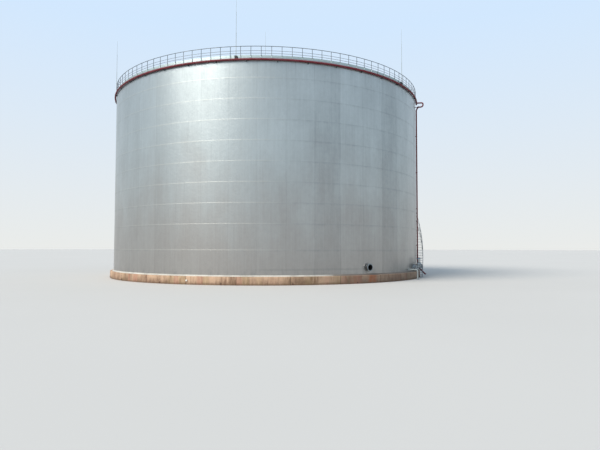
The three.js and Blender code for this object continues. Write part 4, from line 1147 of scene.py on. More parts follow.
class TANK_OT_roof(bpy.types.Operator):
    """Makes the dome roof of lapped plates, with its crown plate and vent"""

    bl_idname = "tank.roof"
    bl_label = "Dome roof"

    def execute(self, context):
        lap = context.scene.tank_sizes.roof_lap
        gores = [Form() for _ in range(GORES)]
        for row in ROOF_ROWS:
            count = row[2]
            for number in range(count):
                add_roof_plate(gores[number * GORES // count], row, number, lap)
        for number, gore in enumerate(gores, 1):
            make_piece(f"roof_plates_{number}", gore, ["roof"], [f"roof_gore_{number}"])

        crown, edge = Form(), CROWN_RADIUS
        top = dome_top(edge)
        base = top - ROOF_THICKNESS
        plate = [(base, edge - 0.01), (base, edge), (top + 0.004, edge), (top + 0.008, edge - 0.02)]
        crown.turned(plate, sides=72)
        vent = polar(-CENTRE_FITTING_OFFSET, CENTRE_ROD_ANGLE, top)
        foot = [(0, 0.2), (0.012, 0.2), (0.014, VENT_PIPE + 0.015), (0.03, VENT_PIPE), (0.4, VENT_PIPE)]
        hood = [
            (0.395, 0.15), (0.37, 0.262), (0.375, 0.268), (0.42, 0.25), (0.47, 0.17), (0.5, 0.07),
            (0.508, 0.02),
        ]
        crown.turned(foot, vent, sides=32)
        crown.sleeve(*VENT_FLANGE, VENT_PIPE, VENT_PIPE + 0.055, vent, sides=32)
        crown.turned(hood, vent, sides=32)
        crown.number = 1
        crown.nuts(8, VENT_PIPE + 0.03, vent + UP * VENT_FLANGE[1], UP, VENT_NUT)
        make_piece("crown", crown, ["roof", "steel"], ["roof_crown"])
        return {"FINISHED"}


class TANK_OT_rim(bpy.types.Operator):
    """Makes the curb angle at the top of the shell, with its weld"""

    bl_idname = "tank.rim"
    bl_label = "Rim"

    def execute(self, context):
        low, top, thick, back = SHELL_TOP + CLEARANCE, CURB_TOP, CURB_THICKNESS, RADIUS - CURB_WIDTH
        curb = Form()
        curb.arc([
            (RADIUS - thick, low), (RADIUS, low), (RADIUS, top - 0.004), (RADIUS - 0.004, top),
            (back, top), (back, top - thick), (RADIUS - thick, top - thick),
        ])
        under, over = low - CURB_BEAD, low + CURB_BEAD
        curb.arc([
            (RADIUS - 0.004, under), (RADIUS + 0.002, under), (RADIUS + 0.005, low), (RADIUS + 0.002, over),
            (RADIUS - 0.004, over),
        ])
        made = make_piece("curb_angle", curb, ["rim"], ["curb_bar"])
        shade_round(made.data)
        return {"FINISHED"}


# Railing and rods


def add_post(form, angle, tube):
    """A railing post with the clip that holds it to the rim."""
    form.place = outward(angle, RAIL_RADIUS)
    form.pin(CURB_TOP, RAIL_TOP - 0.01, tube, sides=10)
    form.number = 2
    form.turned([(RAIL_FOOT, tube), (CURB_TOP + 0.01, tube), (CURB_TOP + 0.013, tube - 0.002)], sides=10)
    face = SKIN - RAIL_RADIUS
    form.slab(face, face + CLIP, 0.045, RAIL_FOOT - 0.01, RAIL_FOOT + 0.12)
    form.slab(face, 0.0, 0.006, RAIL_FOOT, RAIL_FOOT + 0.11)
    form.number = 1
    for z in (RAIL_FOOT + 0.02, RAIL_FOOT + 0.09):
        for side in (-0.034, 0.034):
            form.pin(0, 0.009, 0.01, (face + CLIP, side, z), OUT, 6)
    form.number = 0


class TANK_OT_railing(bpy.types.Operator):
    """Makes the railing round the rim, open at the stair: posts, a toe plate, a top and two middle rails"""

    bl_idname = "tank.railing"
    bl_label = "Rim railing"

    def execute(self, context):
        sizes = context.scene.tank_sizes
        top_tube, post_tube, middle_tube = sizes.rail_tube / 2, sizes.post_tube / 2, sizes.middle_tube / 2
        back = RAIL_RADIUS - post_tube
        each = POSTS // RAILING_SECTIONS
        for section, node in enumerate(RAILING_NODES):
            first = FIRST_POST + section * each * POST_STEP
            end = first + each * POST_STEP
            if node == RAILING_NODES[-1]:
                end -= POST_STEP
            railing = Form()
            for number in range(each):
                add_post(railing, first + number * POST_STEP, post_tube)
            railing.place = TANK_AXIS
            railing.round_bar(RAIL_RADIUS, RAIL_TOP - top_tube, top_tube, first, end, 12)
            for z in RAIL_MIDDLES:
                railing.round_bar(RAIL_RADIUS, z, middle_tube, first, end, 8)
            railing.number = 2
            railing.arc([
                (back - 0.004, CURB_TOP), (back + 0.001, CURB_TOP), (back + 0.001, CURB_TOP + TOE_PLATE),
                (back - 0.004, CURB_TOP + TOE_PLATE),
            ], first, end)
            make_piece(f"railing_{section + 1}", railing, ["rail", "steel", "rim"], [node])
        return {"FINISHED"}


def add_rod(form, foot, length):
    """A lightning rod of three tubes, each thinner than the one below, with a pointed tip."""
    first, second = 0.36 * length, 0.7 * length
    form.turned([
        (0, ROD_TUBE), (first, ROD_TUBE), (first, 0.031), (first + 0.08, 0.031), (first + 0.08, 0.019),
        (second, 0.018), (second, 0.024), (second + 0.06, 0.024), (second + 0.06, 0.012),
        (length - 0.15, 0.009), (length, 0.002),
    ], foot, sides=12)


def add_rod_bracket(form, distance):
    """The foot bracket of a rod on the rim: a plate with a sloping cheek."""
    face, low, half = RADIUS + WALL_PLATE, CURB_TOP - 0.2, 0.14
    form.slab(RADIUS + 0.001, face, half + 0.02, low, CURB_TOP - 0.01)
    short, tall = CURB_TOP + 0.01, CURB_TOP + 0.08
    cheek = [(face, -half, low), (face, half, low), (face, half, short), (face, -half, tall)]
    form.prism(cheek, (distance + 0.04 - face, 0, 0))


def add_rod_clamp(form, distance, z):
    """A bent bar that holds a rod to a rail."""
    bend, back = ROD_TUBE + 0.002, RAIL_RADIUS - 0.036
    hoop = [(distance + bend * math.cos(turn), bend * math.sin(turn), z) for turn in spread(-1.7, 1.7, 0.4)]
    form.tube([(back, -bend, z), *hoop, (back, bend, z)], 0.005, 6)


class TANK_OT_rods(bpy.types.Operator):
    """Makes the lightning rods on the rim, with their foot brackets and clamps, and the one on the roof"""

    bl_idname = "tank.rods"
    bl_label = "Lightning rods"

    def execute(self, context):
        rods = Form()
        distance = RAIL_RADIUS + 0.058
        for number in range(RODS):
            rods.place = outward(FIRST_ROD_ANGLE + number * ROD_SPACING)
            add_rod(rods, (distance, 0, CURB_TOP), ROD_LENGTH)
            rods.pin(CURB_TOP - 0.19, CURB_TOP, ROD_TUBE, (distance, 0, 0))
            rods.number = 1
            add_rod_bracket(rods, distance)
            rods.number = 2
            for z in (RAIL_TOP - 0.023, *RAIL_MIDDLES):
                add_rod_clamp(rods, distance, z - 0.03)
            rods.number = 0

        rods.place = TANK_AXIS
        base = dome_top(CROWN_RADIUS) - ROOF_THICKNESS
        crown = polar(CENTRE_FITTING_OFFSET, CENTRE_ROD_ANGLE, base)
        add_rod(rods, crown, CENTRE_ROD_LENGTH)
        rods.number = 1
        foot, plate = crown + UP * (ROOF_THICKNESS + 0.008), 0.012
        rods.pin(0, plate, 0.11, foot, sides=20)
        for turn in turns(4):
            rods.place = Matrix.Translation(foot) @ Matrix.Rotation(turn, 4, "Z")
            rods.prism([(0.02, -0.004, plate), (0.1, -0.004, plate), (0.02, -0.004, 0.16)], (0, 0.008, 0))
        make_piece("lightning_rods", rods, ["zinc", "black", "steel"], RAILING_NODES)
        return {"FINISHED"}


# Cooling water pipes


def add_half_ring(form, start, end):
    """Half of the ring pipe, capped at both ends, with its weld joints and a row of spray nozzles."""
    centre = RADIUS + RING_OFFSET
    form.round_bar(centre, RING_Z, RING_PIPE, start, end, 20)
    for angle, way in ((start, -ASIDE), (end, ASIDE)):
        form.place = outward(angle, centre, RING_Z)
        cap = [(0, RING_PIPE), (0.012, RING_PIPE * 0.9), (0.022, RING_PIPE * 0.55), (0.026, 0.01)]
        form.turned(cap, axis=way, sides=20)
    for angle in spread(start + RING_WELD_STEP, end - RING_WELD_STEP, RING_WELD_STEP):
        form.place = outward(angle, centre, RING_Z)
        form.pipe_weld(RING_PIPE, 0.012, 0.006, axis=ASIDE)
    spray = [(0.08, 0.011), (0.115, 0.011), (0.115, 0.015), (0.13, 0.015), (0.14, 0.006)]
    for angle in spread(start + SPRAY_STEP, end - SPRAY_STEP, SPRAY_STEP):
        form.place = outward(angle, centre, RING_Z)
        form.turned(spray, axis=Vector((-0.6, 0, -0.8)), sides=6)


def add_ring_bracket(form, angle):
    """An angle-steel arm under the ring pipe, with its wall plate and U-bolt, braced if no tread is there."""
    form.place = outward(angle, RADIUS, RING_Z)
    legs = RING_PIPE + U_BOLT
    low, reach, flat = -legs, RING_OFFSET + RING_PIPE + 0.02, 0.006
    braced = abs(angle - stair_angle(RISERS - 1)) > 2
    form.slab(CLEARANCE, 0.01, 0.05, low - (0.12 if braced else 0.05), low + 0.03)
    form.slab(0.01, reach, 0.03, low - flat, low)
    form.block((0.01, 0.03 - flat, low - 0.06), (reach, 0.03, low - flat))
    if braced:
        form.strap([(0.005, 0, low - 0.1), (reach - 0.05, 0, low - 0.01)], ASIDE, 0.05, 0.008)
    arch = spread(0, math.pi, 0.35)
    hoop = [(RING_OFFSET + legs * math.cos(turn), 0, legs * math.sin(turn)) for turn in arch]
    form.number = 1
    form.tube([(RING_OFFSET + legs, 0, low - 0.03), *hoop, (RING_OFFSET - legs, 0, low - 0.03)], U_BOLT, 6)
    for side in (-legs, legs):
        form.pin(0, -0.012, 0.012, (RING_OFFSET + side, 0, low - flat), sides=6)
    form.number = 0


class TANK_OT_cooling_ring(bpy.types.Operator):
    """Makes the red ring pipe below the rim, with its brackets, joints and spray nozzles"""

    bl_idname = "tank.cooling_ring"
    bl_label = "Cooling ring"

    def execute(self, context):
        nodes = [f"cooling_ring_pipe_{number}" for number in (1, 2)]
        brackets = Form()
        for number, (start, node) in enumerate(zip(RING_STARTS, nodes), 1):
            ring = Form()
            add_half_ring(ring, start, start + RING_ANGLE)
            make_piece(f"ring_pipe_{number}", ring, ["red"], [node])
            for turn in range(round(360 / RING_BRACKET_STEP)):
                angle = RING_BRACKET_ANGLE + turn * RING_BRACKET_STEP
                if 1 < (angle - start) % 360 < RING_ANGLE - 1:
                    add_ring_bracket(brackets, angle)
        make_piece("ring_brackets", brackets, ["dark", "steel"], nodes)
        return {"FINISHED"}


def add_riser(form, angle):
    """A riser from the flange at its slanting foot, up the shell, and out and over to its half ring."""
    near, loop, pipe = RADIUS + RISER_OFFSET, RADIUS + LOOP_REACH, RISER_PIPE
    route = [
        (near + RISER_SLANT_Z - RISER_END_Z, RISER_END_Z), (near, RISER_SLANT_Z), (near, RISER_BEND_Z),
        (near + 0.15, LOOP_Z - 0.08), (near + 0.26, LOOP_Z), (loop - 0.23, LOOP_Z),
        (loop - 0.06, LOOP_Z + 0.1), (loop, RING_Z - 0.25), (loop - 0.02, RING_Z - 0.09),
        (loop - 0.14, RING_Z), (RADIUS + RING_OFFSET + 0.06, RING_Z),
    ]
    corners = [Vector((distance, 0, z)) for distance, z in route]
    form.place = outward(angle)
    form.tube(rounded(corners, RISER_BEND, 6), pipe, 20)
    foot = corners[0]
    slope = (foot - corners[1]).normalized()
    form.turned([
        (-0.05, pipe), (-0.02, pipe + 0.012), (0, pipe + 0.055), (RISER_FLANGE, pipe + 0.055),
        (RISER_FLANGE, pipe - 0.008), (-0.01, pipe - 0.008),
    ], foot, slope, 28)
    joint, pair = Vector((near + 0.2, 0, LOOP_Z)), 2 * RISER_FLANGE + LOOP_GASKET
    for far in (0, pair - RISER_FLANGE):
        form.pin(far, far + RISER_FLANGE, pipe + 0.05, joint, OUT, 28)
    for z in RISER_WELDS:
        form.pipe_weld(pipe, 0.012, 0.005, (near, 0, z))
    form.number = 1
    form.nuts(8, pipe + 0.032, foot, -slope, RISER_FOOT_NUT)
    form.nuts(8, pipe + 0.03, joint, -OUT, RISER_LOOP_NUT)
    form.nuts(8, pipe + 0.03, joint + OUT * pair, OUT, RISER_LOOP_NUT)
    form.number = 0
    for z in RISER_BRACKETS:
        add_riser_bracket(form, near, z)
    form.slab(SKIN, near + 0.2, 0.03, LOOP_Z - 0.03, LOOP_Z + 0.03)
    form.slab(SKIN, RADIUS + WALL_PLATE, 0.08, LOOP_Z - 0.08, LOOP_Z + 0.08)


def add_riser_bracket(form, distance, z):
    """Two flats from a wall plate to the riser, with a clamp round the pipe."""
    top, beside, flat = z + RISER_BRACKET_HEIGHT, RISER_PIPE + 0.004, 0.008
    form.slab(SKIN, RADIUS + WALL_PLATE, 0.08, z - 0.04, z + 0.11)
    for near, far in ((-beside - flat, -beside), (beside, beside + flat)):
        form.block((RADIUS + 0.01, near, z), (distance + 0.02, far, top))
    form.sleeve(z, top, RISER_PIPE, RISER_PIPE + flat, (distance, 0, 0), sides=20)
    form.number = 1
    for side in (-beside, beside):
        form.pin(-0.02, 0.02, 0.012, (distance - 0.08, side, (z + top) / 2), ASIDE, 6)
    form.number = 0


class TANK_OT_riser(bpy.types.Operator):
    """Makes the two riser pipes, each with its loop at the rim, brackets and flanges"""

    bl_idname = "tank.riser"
    bl_label = "Riser"

    def execute(self, context):
        for number, angle in enumerate(RISER_ANGLES, 1):
            riser = Form()
            add_riser(riser, angle)
            make_piece(f"riser_{number}", riser, ["red", "steel"], [f"riser_pipe_{number}"])
        return {"FINISHED"}


# Manway


class TANK_OT_manway(bpy.types.Operator):
    """Makes the open manway: its neck, its drilled flange with the old gasket, and the plate round it"""

    bl_idname = "tank.manway"
    bl_label = "Manway"

    def execute(self, context):
        bore, outer, flange, face = MANWAY_BORE, MANWAY_OUTER, MANWAY_FLANGE, MANWAY_FACE
        back, chamfer, centre = face - MANWAY_FLANGE_THICKNESS, MANWAY_CHAMFER, (0, 0, MANWAY_Z)
        neck = Form(outward(MANWAY_ANGLE))
        neck.turned([
            (RADIUS - 0.06, bore), (RADIUS - 0.06, outer), (back - 0.012, outer), (back, outer + 0.012),
            (back, flange - chamfer), (back + chamfer, flange), (face - chamfer, flange),
            (face, flange - chamfer), (face, bore),
        ], centre, OUT, 72, bored=True)
        # The old gasket, black, which also widens the painted shade of the opening
        neck.number = 1
        neck.sleeve(face, face + 0.003, bore, MANWAY_GASKET, centre, OUT, 72)
        made = make_piece("manway", neck, ["grey", "black"], ["manway_neck"])
        # The neck is painted black inside and out, as far as its flange: painted shade of the open manway
        for part in made.data.polygons:
            aside = math.hypot(part.center.x, part.center.z - MANWAY_Z)
            if aside < outer + 0.004 and -part.center.y < face - 0.002:
                part.material_index = 1

        holes, circle = Form(outward(MANWAY_ANGLE)), MANWAY_BOLT_CIRCLE
        for turn in turns(context.scene.tank_sizes.manway_bolts):
            spot = (0, circle * math.cos(turn), MANWAY_Z + circle * math.sin(turn))
            holes.pin(back - 0.01, face + 0.01, MANWAY_BOLT_HOLE, spot, OUT)
        cut_away(made, holes)
        smooth(made)

        plate, foot = Form(), WALL_TOP + SEAL_HEIGHT + 0.004
        plate.pad(MANWAY_ANGLE, MANWAY_Z, MANWAY_HOLE, MANWAY_PAD, MANWAY_PAD_THICKNESS, foot, 96)
        make_piece("manway_plate", plate, ["silver"], ["manway_pad"])
        return {"FINISHED"}


# Nozzles and valves


def add_nozzle(form, angle, kind):
    """A nozzle on its pad, with a weld-neck flange and the nuts behind it."""
    form.pad(angle, kind.z, kind.pipe, kind.pad, kind.pad_thickness)
    form.place = outward(angle)
    centre, back = (0, 0, kind.z), kind.face - kind.thickness
    form.pin(PIPE_ROOT, kind.face - kind.recess, kind.pipe, centre, OUT, kind.sides)
    hub = [(back - 0.004, kind.pipe * 1.2), (back - 0.06, kind.pipe)]
    form.turned([(kind.face, kind.flange), (back, kind.flange), *hub], centre, OUT, 40)
    form.number = 1
    form.nuts(kind.bolts, kind.circle, (back, 0, kind.z), -OUT, kind.nut)


def add_gate_valve(form, angle):
    """A gate valve with a rising stem, on the outer end of a product nozzle."""
    form.place = outward(angle)
    start = PRODUCT.face + CLEARANCE
    end, middle, z = start + VALVE_LENGTH, start + VALVE_LENGTH / 2, PRODUCT.z
    front, back, flange = start + PRODUCT.thickness, end - PRODUCT.thickness, PRODUCT.flange
    form.turned([
        (start, flange), (front, flange), (front + 0.004, 0.19), (start + 0.09, 0.168),
        (middle - 0.08, 0.176), (middle, 0.186), (middle + 0.08, 0.176), (end - 0.09, 0.168),
        (back - 0.004, 0.19), (back, flange), (end, flange), (end, 0.15), (end - 0.13, 0.15),
    ], (0, 0, z), OUT, 48)
    stem = Vector((middle, 0, z))
    body = [(-0.2, 0.09), (-0.192, 0.125), (-0.16, 0.15), (0.0, 0.172), (0.14, 0.188), (0.222, 0.19)]
    joint = [
        (0.212, 0.2), (0.222, BONNET), (0.248, BONNET), (0.249, BONNET - 0.006), (0.251, BONNET - 0.006),
        (0.252, BONNET), (0.276, BONNET), (0.282, 0.2),
    ]
    bonnet = [
        (0.27, 0.19), (0.3, 0.192), (0.34, 0.178), (0.375, 0.146), (0.4, 0.115), (0.425, 0.1), (0.462, 0.092),
    ]
    for profile in (body, joint, bonnet):
        form.turned(profile, stem, sides=40)
    form.turned([(0.455, 0.1), (0.478, 0.1), (0.482, 0.06), (0.512, 0.055)], stem)
    yoke = ((0.085, 0.41), (0.108, 0.5), (0.114, 0.6), (0.106, 0.7), (0.086, 0.8), (0.06, 0.87))
    for side in (-1, 1):
        form.strap([(middle, side * y, z + height) for y, height in yoke], OUT, 0.052, 0.022)
        form.strap([(middle, side * (y + 0.012), z + height) for y, height in yoke], OUT, 0.016, 0.03)
    form.turned([(0.852, 0.07), (0.862, 0.104), (0.895, 0.104), (0.9, 0.06), (0.925, 0.05)], stem)

    form.number = 1
    for face, way in ((back, -OUT), (front, OUT)):
        form.nuts(PRODUCT.bolts, PRODUCT.circle, (face, 0, z), way, PRODUCT.nut)
    form.nuts(12, 0.2, stem + UP * 0.276, UP, BONNET_NUT)
    form.nuts(12, 0.2, stem + UP * 0.222, -UP, BONNET_BOLT_HEAD)
    form.nuts(2, 0.078, stem + UP * 0.478, UP, GLAND_NUT)
    thread, pitch = [], 0.016
    for step in range(11):
        thread += [(0.955 + step * pitch, 0.0215), (0.963 + step * pitch, 0.018)]
    form.turned([(0.46, 0.02), (0.94, 0.02), *thread, (1.13, 0.017)], stem, sides=16)
    form.pin(0.963, 0.99, 0.045, stem, sides=6)


def add_handwheel(form, place, radius, rim, hub, count):
    """A handwheel with a round rim and a number of spokes that rise from the hub."""
    form.place = place
    circle = [(radius * math.cos(turn), radius * math.sin(turn), 0) for turn in turns(40, 0)]
    form.tube(circle, rim, 10, closed=True)
    form.turned([(-0.25 * hub, hub), (0.45 * hub, hub), (0.5 * hub, hub * 0.8)])
    rise = UP * 0.1 * hub
    for turn in turns(count, 0):
        way = Vector((math.cos(turn), math.sin(turn), 0))
        path = [way * hub * 0.8 + rise, way * radius * 0.5 + rise * 1.6, way * (radius - 0.3 * rim)]
        form.tube(path, [rim * 0.95, rim * 0.75, rim * 0.65], 8)


def add_small_valve(form):
    """The small valve with its own handwheel, on the sample nozzle."""
    form.place = outward(SMALL_ANGLE)
    start = SMALL.face + CLEARANCE
    end, middle, z = start + SMALL_VALVE_LENGTH, start + SMALL_VALVE_LENGTH / 2, SMALL.z
    front, back, flange = start + SMALL.thickness, end - SMALL.thickness, SMALL.flange
    form.turned([
        (start, flange), (front, flange), (front + 0.004, 0.07), (middle - 0.04, 0.062), (middle, 0.078),
        (middle + 0.04, 0.062), (back - 0.004, 0.07), (back, flange), (end, flange), (end, 0.05),
        (end - 0.06, 0.05),
    ], (0, 0, z), OUT, 32)
    stem = Vector((middle, 0, z))
    form.turned([
        (-0.08, 0.04), (-0.07, 0.062), (0.03, 0.074), (0.1, 0.074), (0.1, 0.095), (0.13, 0.095),
        (0.134, 0.06), (0.17, 0.045), (0.2, 0.03),
    ], stem, sides=28)
    form.number = 1
    form.pin(0.19, 0.335, 0.012, stem)
    form.nuts(8, 0.083, stem + UP * 0.13, UP, SMALL_BONNET_NUT)
    for face, way in ((front, OUT), (back, -OUT)):
        form.nuts(SMALL.bolts, SMALL.circle, (face, 0, z), way, SMALL.nut)
    form.number = 2
    add_handwheel(form, outward(SMALL_ANGLE, middle, z + SMALL_WHEEL_HEIGHT), 0.1, 0.009, 0.024, 5)


class TANK_OT_nozzles(bpy.types.Operator):
    """Makes the nozzles low on the shell, with their flanges, pads, valves and handwheels"""

    bl_idname = "tank.nozzles"
    bl_label = "Nozzles and valves"

    def execute(self, context):
        steel = ["grey", "steel"]
        for number, (angle, wheel_tone) in enumerate(zip(PRODUCT_ANGLES, WHEELS), 1):
            nozzle, valve, wheel = Form(), Form(), Form()
            add_nozzle(nozzle, angle, PRODUCT)
            make_piece(f"nozzle_{number}", nozzle, steel, [f"product_nozzle_{number}"])
            add_gate_valve(valve, angle)
            make_piece(f"valve_{number}", valve, steel, [f"gate_valve_{number}"])
            middle = PRODUCT.face + CLEARANCE + VALVE_LENGTH / 2
            add_handwheel(wheel, outward(angle, middle, PRODUCT.z + WHEEL_HEIGHT), 0.21, 0.016, 0.048, 6)
            name, slot = f"valve_wheel_{number}", f"{wheel_tone}_paint"
            make_piece(name, wheel, [wheel_tone], [f"handwheel_{number}"])

        nozzle, valve = Form(), Form()
        add_nozzle(nozzle, SMALL_ANGLE, SMALL)
        make_piece("sample_nozzle", nozzle, steel, ["small_nozzle"])
        add_small_valve(valve)
        make_piece("sample_valve", valve, [*steel, "dark"], ["small_valve"])
        return {"FINISHED"}


class TANK_OT_drain(bpy.types.Operator):
    """Makes the drain pipe that leaves the shell over the ring wall and turns down to the ground"""

    bl_idname = "tank.drain"
    bl_label = "Drain"

    def execute(self, context):
        drain = Form()
        drain.pad(DRAIN_ANGLE, DRAIN_Z, DRAIN_PIPE, 1.8 * DRAIN_PIPE, 0.01)
        drain.place = outward(DRAIN_ANGLE)
        corners = [(PIPE_ROOT, 0, DRAIN_Z), (DRAIN_END, 0, DRAIN_Z), (DRAIN_END, 0, 0)]
        drain.tube(rounded(corners, DRAIN_BEND, 10), DRAIN_PIPE, 28)
        for far in DRAIN_WELDS:
            drain.pipe_weld(DRAIN_PIPE, 0.01, 0.004, (far, 0, DRAIN_Z), OUT, 28)
        make_piece("drain", drain, ["zinc"], ["drain_pipe"])
        return {"FINISHED"}


# Stair


def stair_angle(riser):
    """The polar angle of the middle of a tread."""
    landings = sum(riser > landing for landing in LANDING_RISERS)
    return STAIR_FOOT_ANGLE + (riser - 1) * RUN_ANGLE + landings * (LANDING_ANGLE - RUN_ANGLE)


def tread_inner(riser):
    """How near the axis a tread reaches: the ring wall's face, the shell, or clear of a pipe."""
    top = riser * RISE
    if top - TREAD_THICKNESS < WALL_TOP + CLEARANCE:
        return WALL_OUTER + CLEARANCE
    ring_room = RING_PIPE + PIPE_CLEARANCE
    if abs(top - TREAD_THICKNESS / 2 - RING_Z) < ring_room + TREAD_THICKNESS / 2:
        return RADIUS + RING_OFFSET + ring_room
    riser_room = RISER_PIPE + PIPE_CLEARANCE
    if abs(stair_angle(riser) - RISER_ANGLES[0]) < TREAD_HALF_ANGLE + arc_degrees(riser_room):
        return RADIUS + RISER_OFFSET + riser_room
    return SKIN


def add_grating(form, inner, outer, half, top, bars):
    """An open grating in a frame of flats, in the form's place."""
    flat, low = GRATING_FLAT, top - TREAD_THICKNESS
    form.block((inner, -half, low), (outer, -half + NOSING, top))
    form.block((inner, half - flat, low), (outer, half, top))
    form.slab(inner, inner + flat, half, low, top)
    form.slab(outer - flat, outer, half, low, top)
    for index in range(bars):
        y = -half + NOSING + (2 * half - NOSING - flat) * (index + 0.5) / bars
        form.block((inner, y - GRATING_BAR_HALF, low + flat), (outer, y + GRATING_BAR_HALF, top - 0.002))
    for x in spread(inner, outer, GRATING_TIE_STEP)[1:-1]:
        form.slab(x - GRATING_TIE_HALF, x + GRATING_TIE_HALF, half, top - 0.012, top - 0.004)


class Flight:
    """One flight of the stair: its treads, and the line that they climb along."""

    def __init__(self, before, after):
        self.first, self.last = before + 1, after - 1
        self.treads = range(self.first, self.last + 1)
        self.start = stair_angle(self.first) - TREAD_HALF_ANGLE
        self.end = stair_angle(self.last) + TREAD_HALF_ANGLE

    def height(self, angle):
        """The height of that line at a polar angle."""
        return self.first * RISE + (angle - stair_angle(self.first)) * RISE / RUN_ANGLE

    def add_tread(self, form, riser, bars):
        """A grating tread, on a cleat where it reaches the shell."""
        form.place = outward(stair_angle(riser))
        inner, top = tread_inner(riser), riser * RISE
        add_grating(form, inner, STRINGER_INNER, TREAD_DEPTH / 2, top, bars)
        if inner == SKIN:
            form.slab(SKIN, RADIUS + 0.008, 0.1, top - 0.11, top - TREAD_THICKNESS + 0.004)

    def add_stringer(self, form):
        """The flat outer stringer that the treads hang on."""
        outlines = []
        for angle in spread(self.start, self.end, 0.5):
            foot = self.height(angle) - STRINGER_DROP
            low, high = max(foot, 0.0), foot + STRINGER_HEIGHT
            section = [(STRINGER_INNER, low), (STRINGER_INNER, high), (STAIR_OUTER, high), (STAIR_OUTER, low)]
            outlines.append([polar(distance, angle, z) for distance, z in section])
        form.place = TANK_AXIS
        form.skin(outlines)

    def add_rail(self, form):
        """Posts with a top and a middle rail that climb along the outer stringer."""
        stations = [stair_angle(riser) for riser in range(self.first, self.last - 1, HANDRAIL_STEP)]
        stations.append(stair_angle(self.last))
        for angle in stations:
            foot = self.height(angle)
            form.place = outward(angle, HANDRAIL_RADIUS)
            form.pin(foot - 0.1, foot + HANDRAIL_HEIGHT - HANDRAIL_TUBE, HANDRAIL_TUBE, sides=10)
        form.place = TANK_AXIS
        line = [(angle, self.height(angle)) for angle in spread(stations[0], stations[-1], 0.6)]
        for rise, size in HANDRAIL_BARS:
            form.tube([polar(HANDRAIL_RADIUS, angle, z + rise) for angle, z in line], size, 10)


class TANK_OT_stair(bpy.types.Operator):
    """Makes the stair's three flights: grating treads, the outer stringer, posts and rails"""

    bl_idname = "tank.stair"
    bl_label = "Stair"

    def execute(self, context):
        bars = context.scene.tank_sizes.tread_bars
        ends = [0, *LANDING_RISERS, RISERS]
        for number, (before, after) in enumerate(zip(ends, ends[1:]), 1):
            flight, steps, rail = Flight(before, after), Form(), Form()
            for riser in flight.treads:
                flight.add_tread(steps, riser, bars)
            flight.add_stringer(steps)
            make_piece(f"flight_{number}", steps, ["stair"], [f"stair_flight_{number}"])
            flight.add_rail(rail)
            make_piece(f"handrail_{number}", rail, ["rail"], [f"stair_rail_{number}"])
        return {"FINISHED"}


def add_landing(form, riser, inner, start, end, bars):
    """A landing: grating on two braced brackets, with a kick plate, posts and rails along its outer edge."""
    z, edge, rail = riser * RISE, STAIR_OUTER, STAIR_OUTER - 0.03
    under = z - TREAD_THICKNESS
    half = math.radians(end - start) / 2 * (RADIUS + edge) / 2
    form.place = outward((start + end) / 2)
    add_grating(form, inner, edge - 0.05, half, z, 5 * bars)
    form.place = TANK_AXIS
    form.arc([
        (edge - 0.05, z - 0.06), (edge, z - 0.06), (edge, z + 0.1), (edge - 0.006, z + 0.1),
        (edge - 0.006, z - 0.01), (edge - 0.05, z - 0.01),
    ], start, end, 0.5)
    posts = [start + 0.25, end - 0.25]
    for angle in posts:
        form.place = outward(angle)
        form.slab(SKIN, edge - 0.2, 0.03, z - 0.12, under)
        form.slab(SKIN, RADIUS + 0.01, 0.06, z - 0.5, under)
        form.strap([(RADIUS + 0.02, 0, z - 0.46), (edge - 0.26, 0, z - 0.1)], ASIDE, 0.05, 0.01)
        form.pin(z - 0.01, z + HANDRAIL_HEIGHT - HANDRAIL_TUBE, HANDRAIL_TUBE, (rail, 0, 0), sides=10)
    form.place = TANK_AXIS
    for rise, size in HANDRAIL_BARS:
        form.round_bar(rail, z + rise, size, *posts, step=0.5)


class TANK_OT_landings(bpy.types.Operator):
    """Makes the stair's two landings and the platform at its head"""

    bl_idname = "tank.landings"
    bl_label = "Landings"

    def execute(self, context):
        bars = context.scene.tank_sizes.tread_bars
        beside_tread = TREAD_HALF_ANGLE + arc_degrees(CLEARANCE)
        for number, riser in enumerate(LANDING_RISERS, 1):
            landing = Form()
            start, end = stair_angle(riser - 1) + beside_tread, stair_angle(riser + 1) - beside_tread
            add_landing(landing, riser, SKIN, start, end, bars)
            make_piece(f"landing_{number}", landing, ["stair"], [f"stair_landing_{number}"])
        head = Form()
        start = stair_angle(RISERS - 1) + beside_tread
        add_landing(head, RISERS, RADIUS + 0.06, start, FIRST_POST, bars)
        make_piece("head_platform", head, ["stair"], ["stair_head_platform"])
        return {"FINISHED"}


# Stage


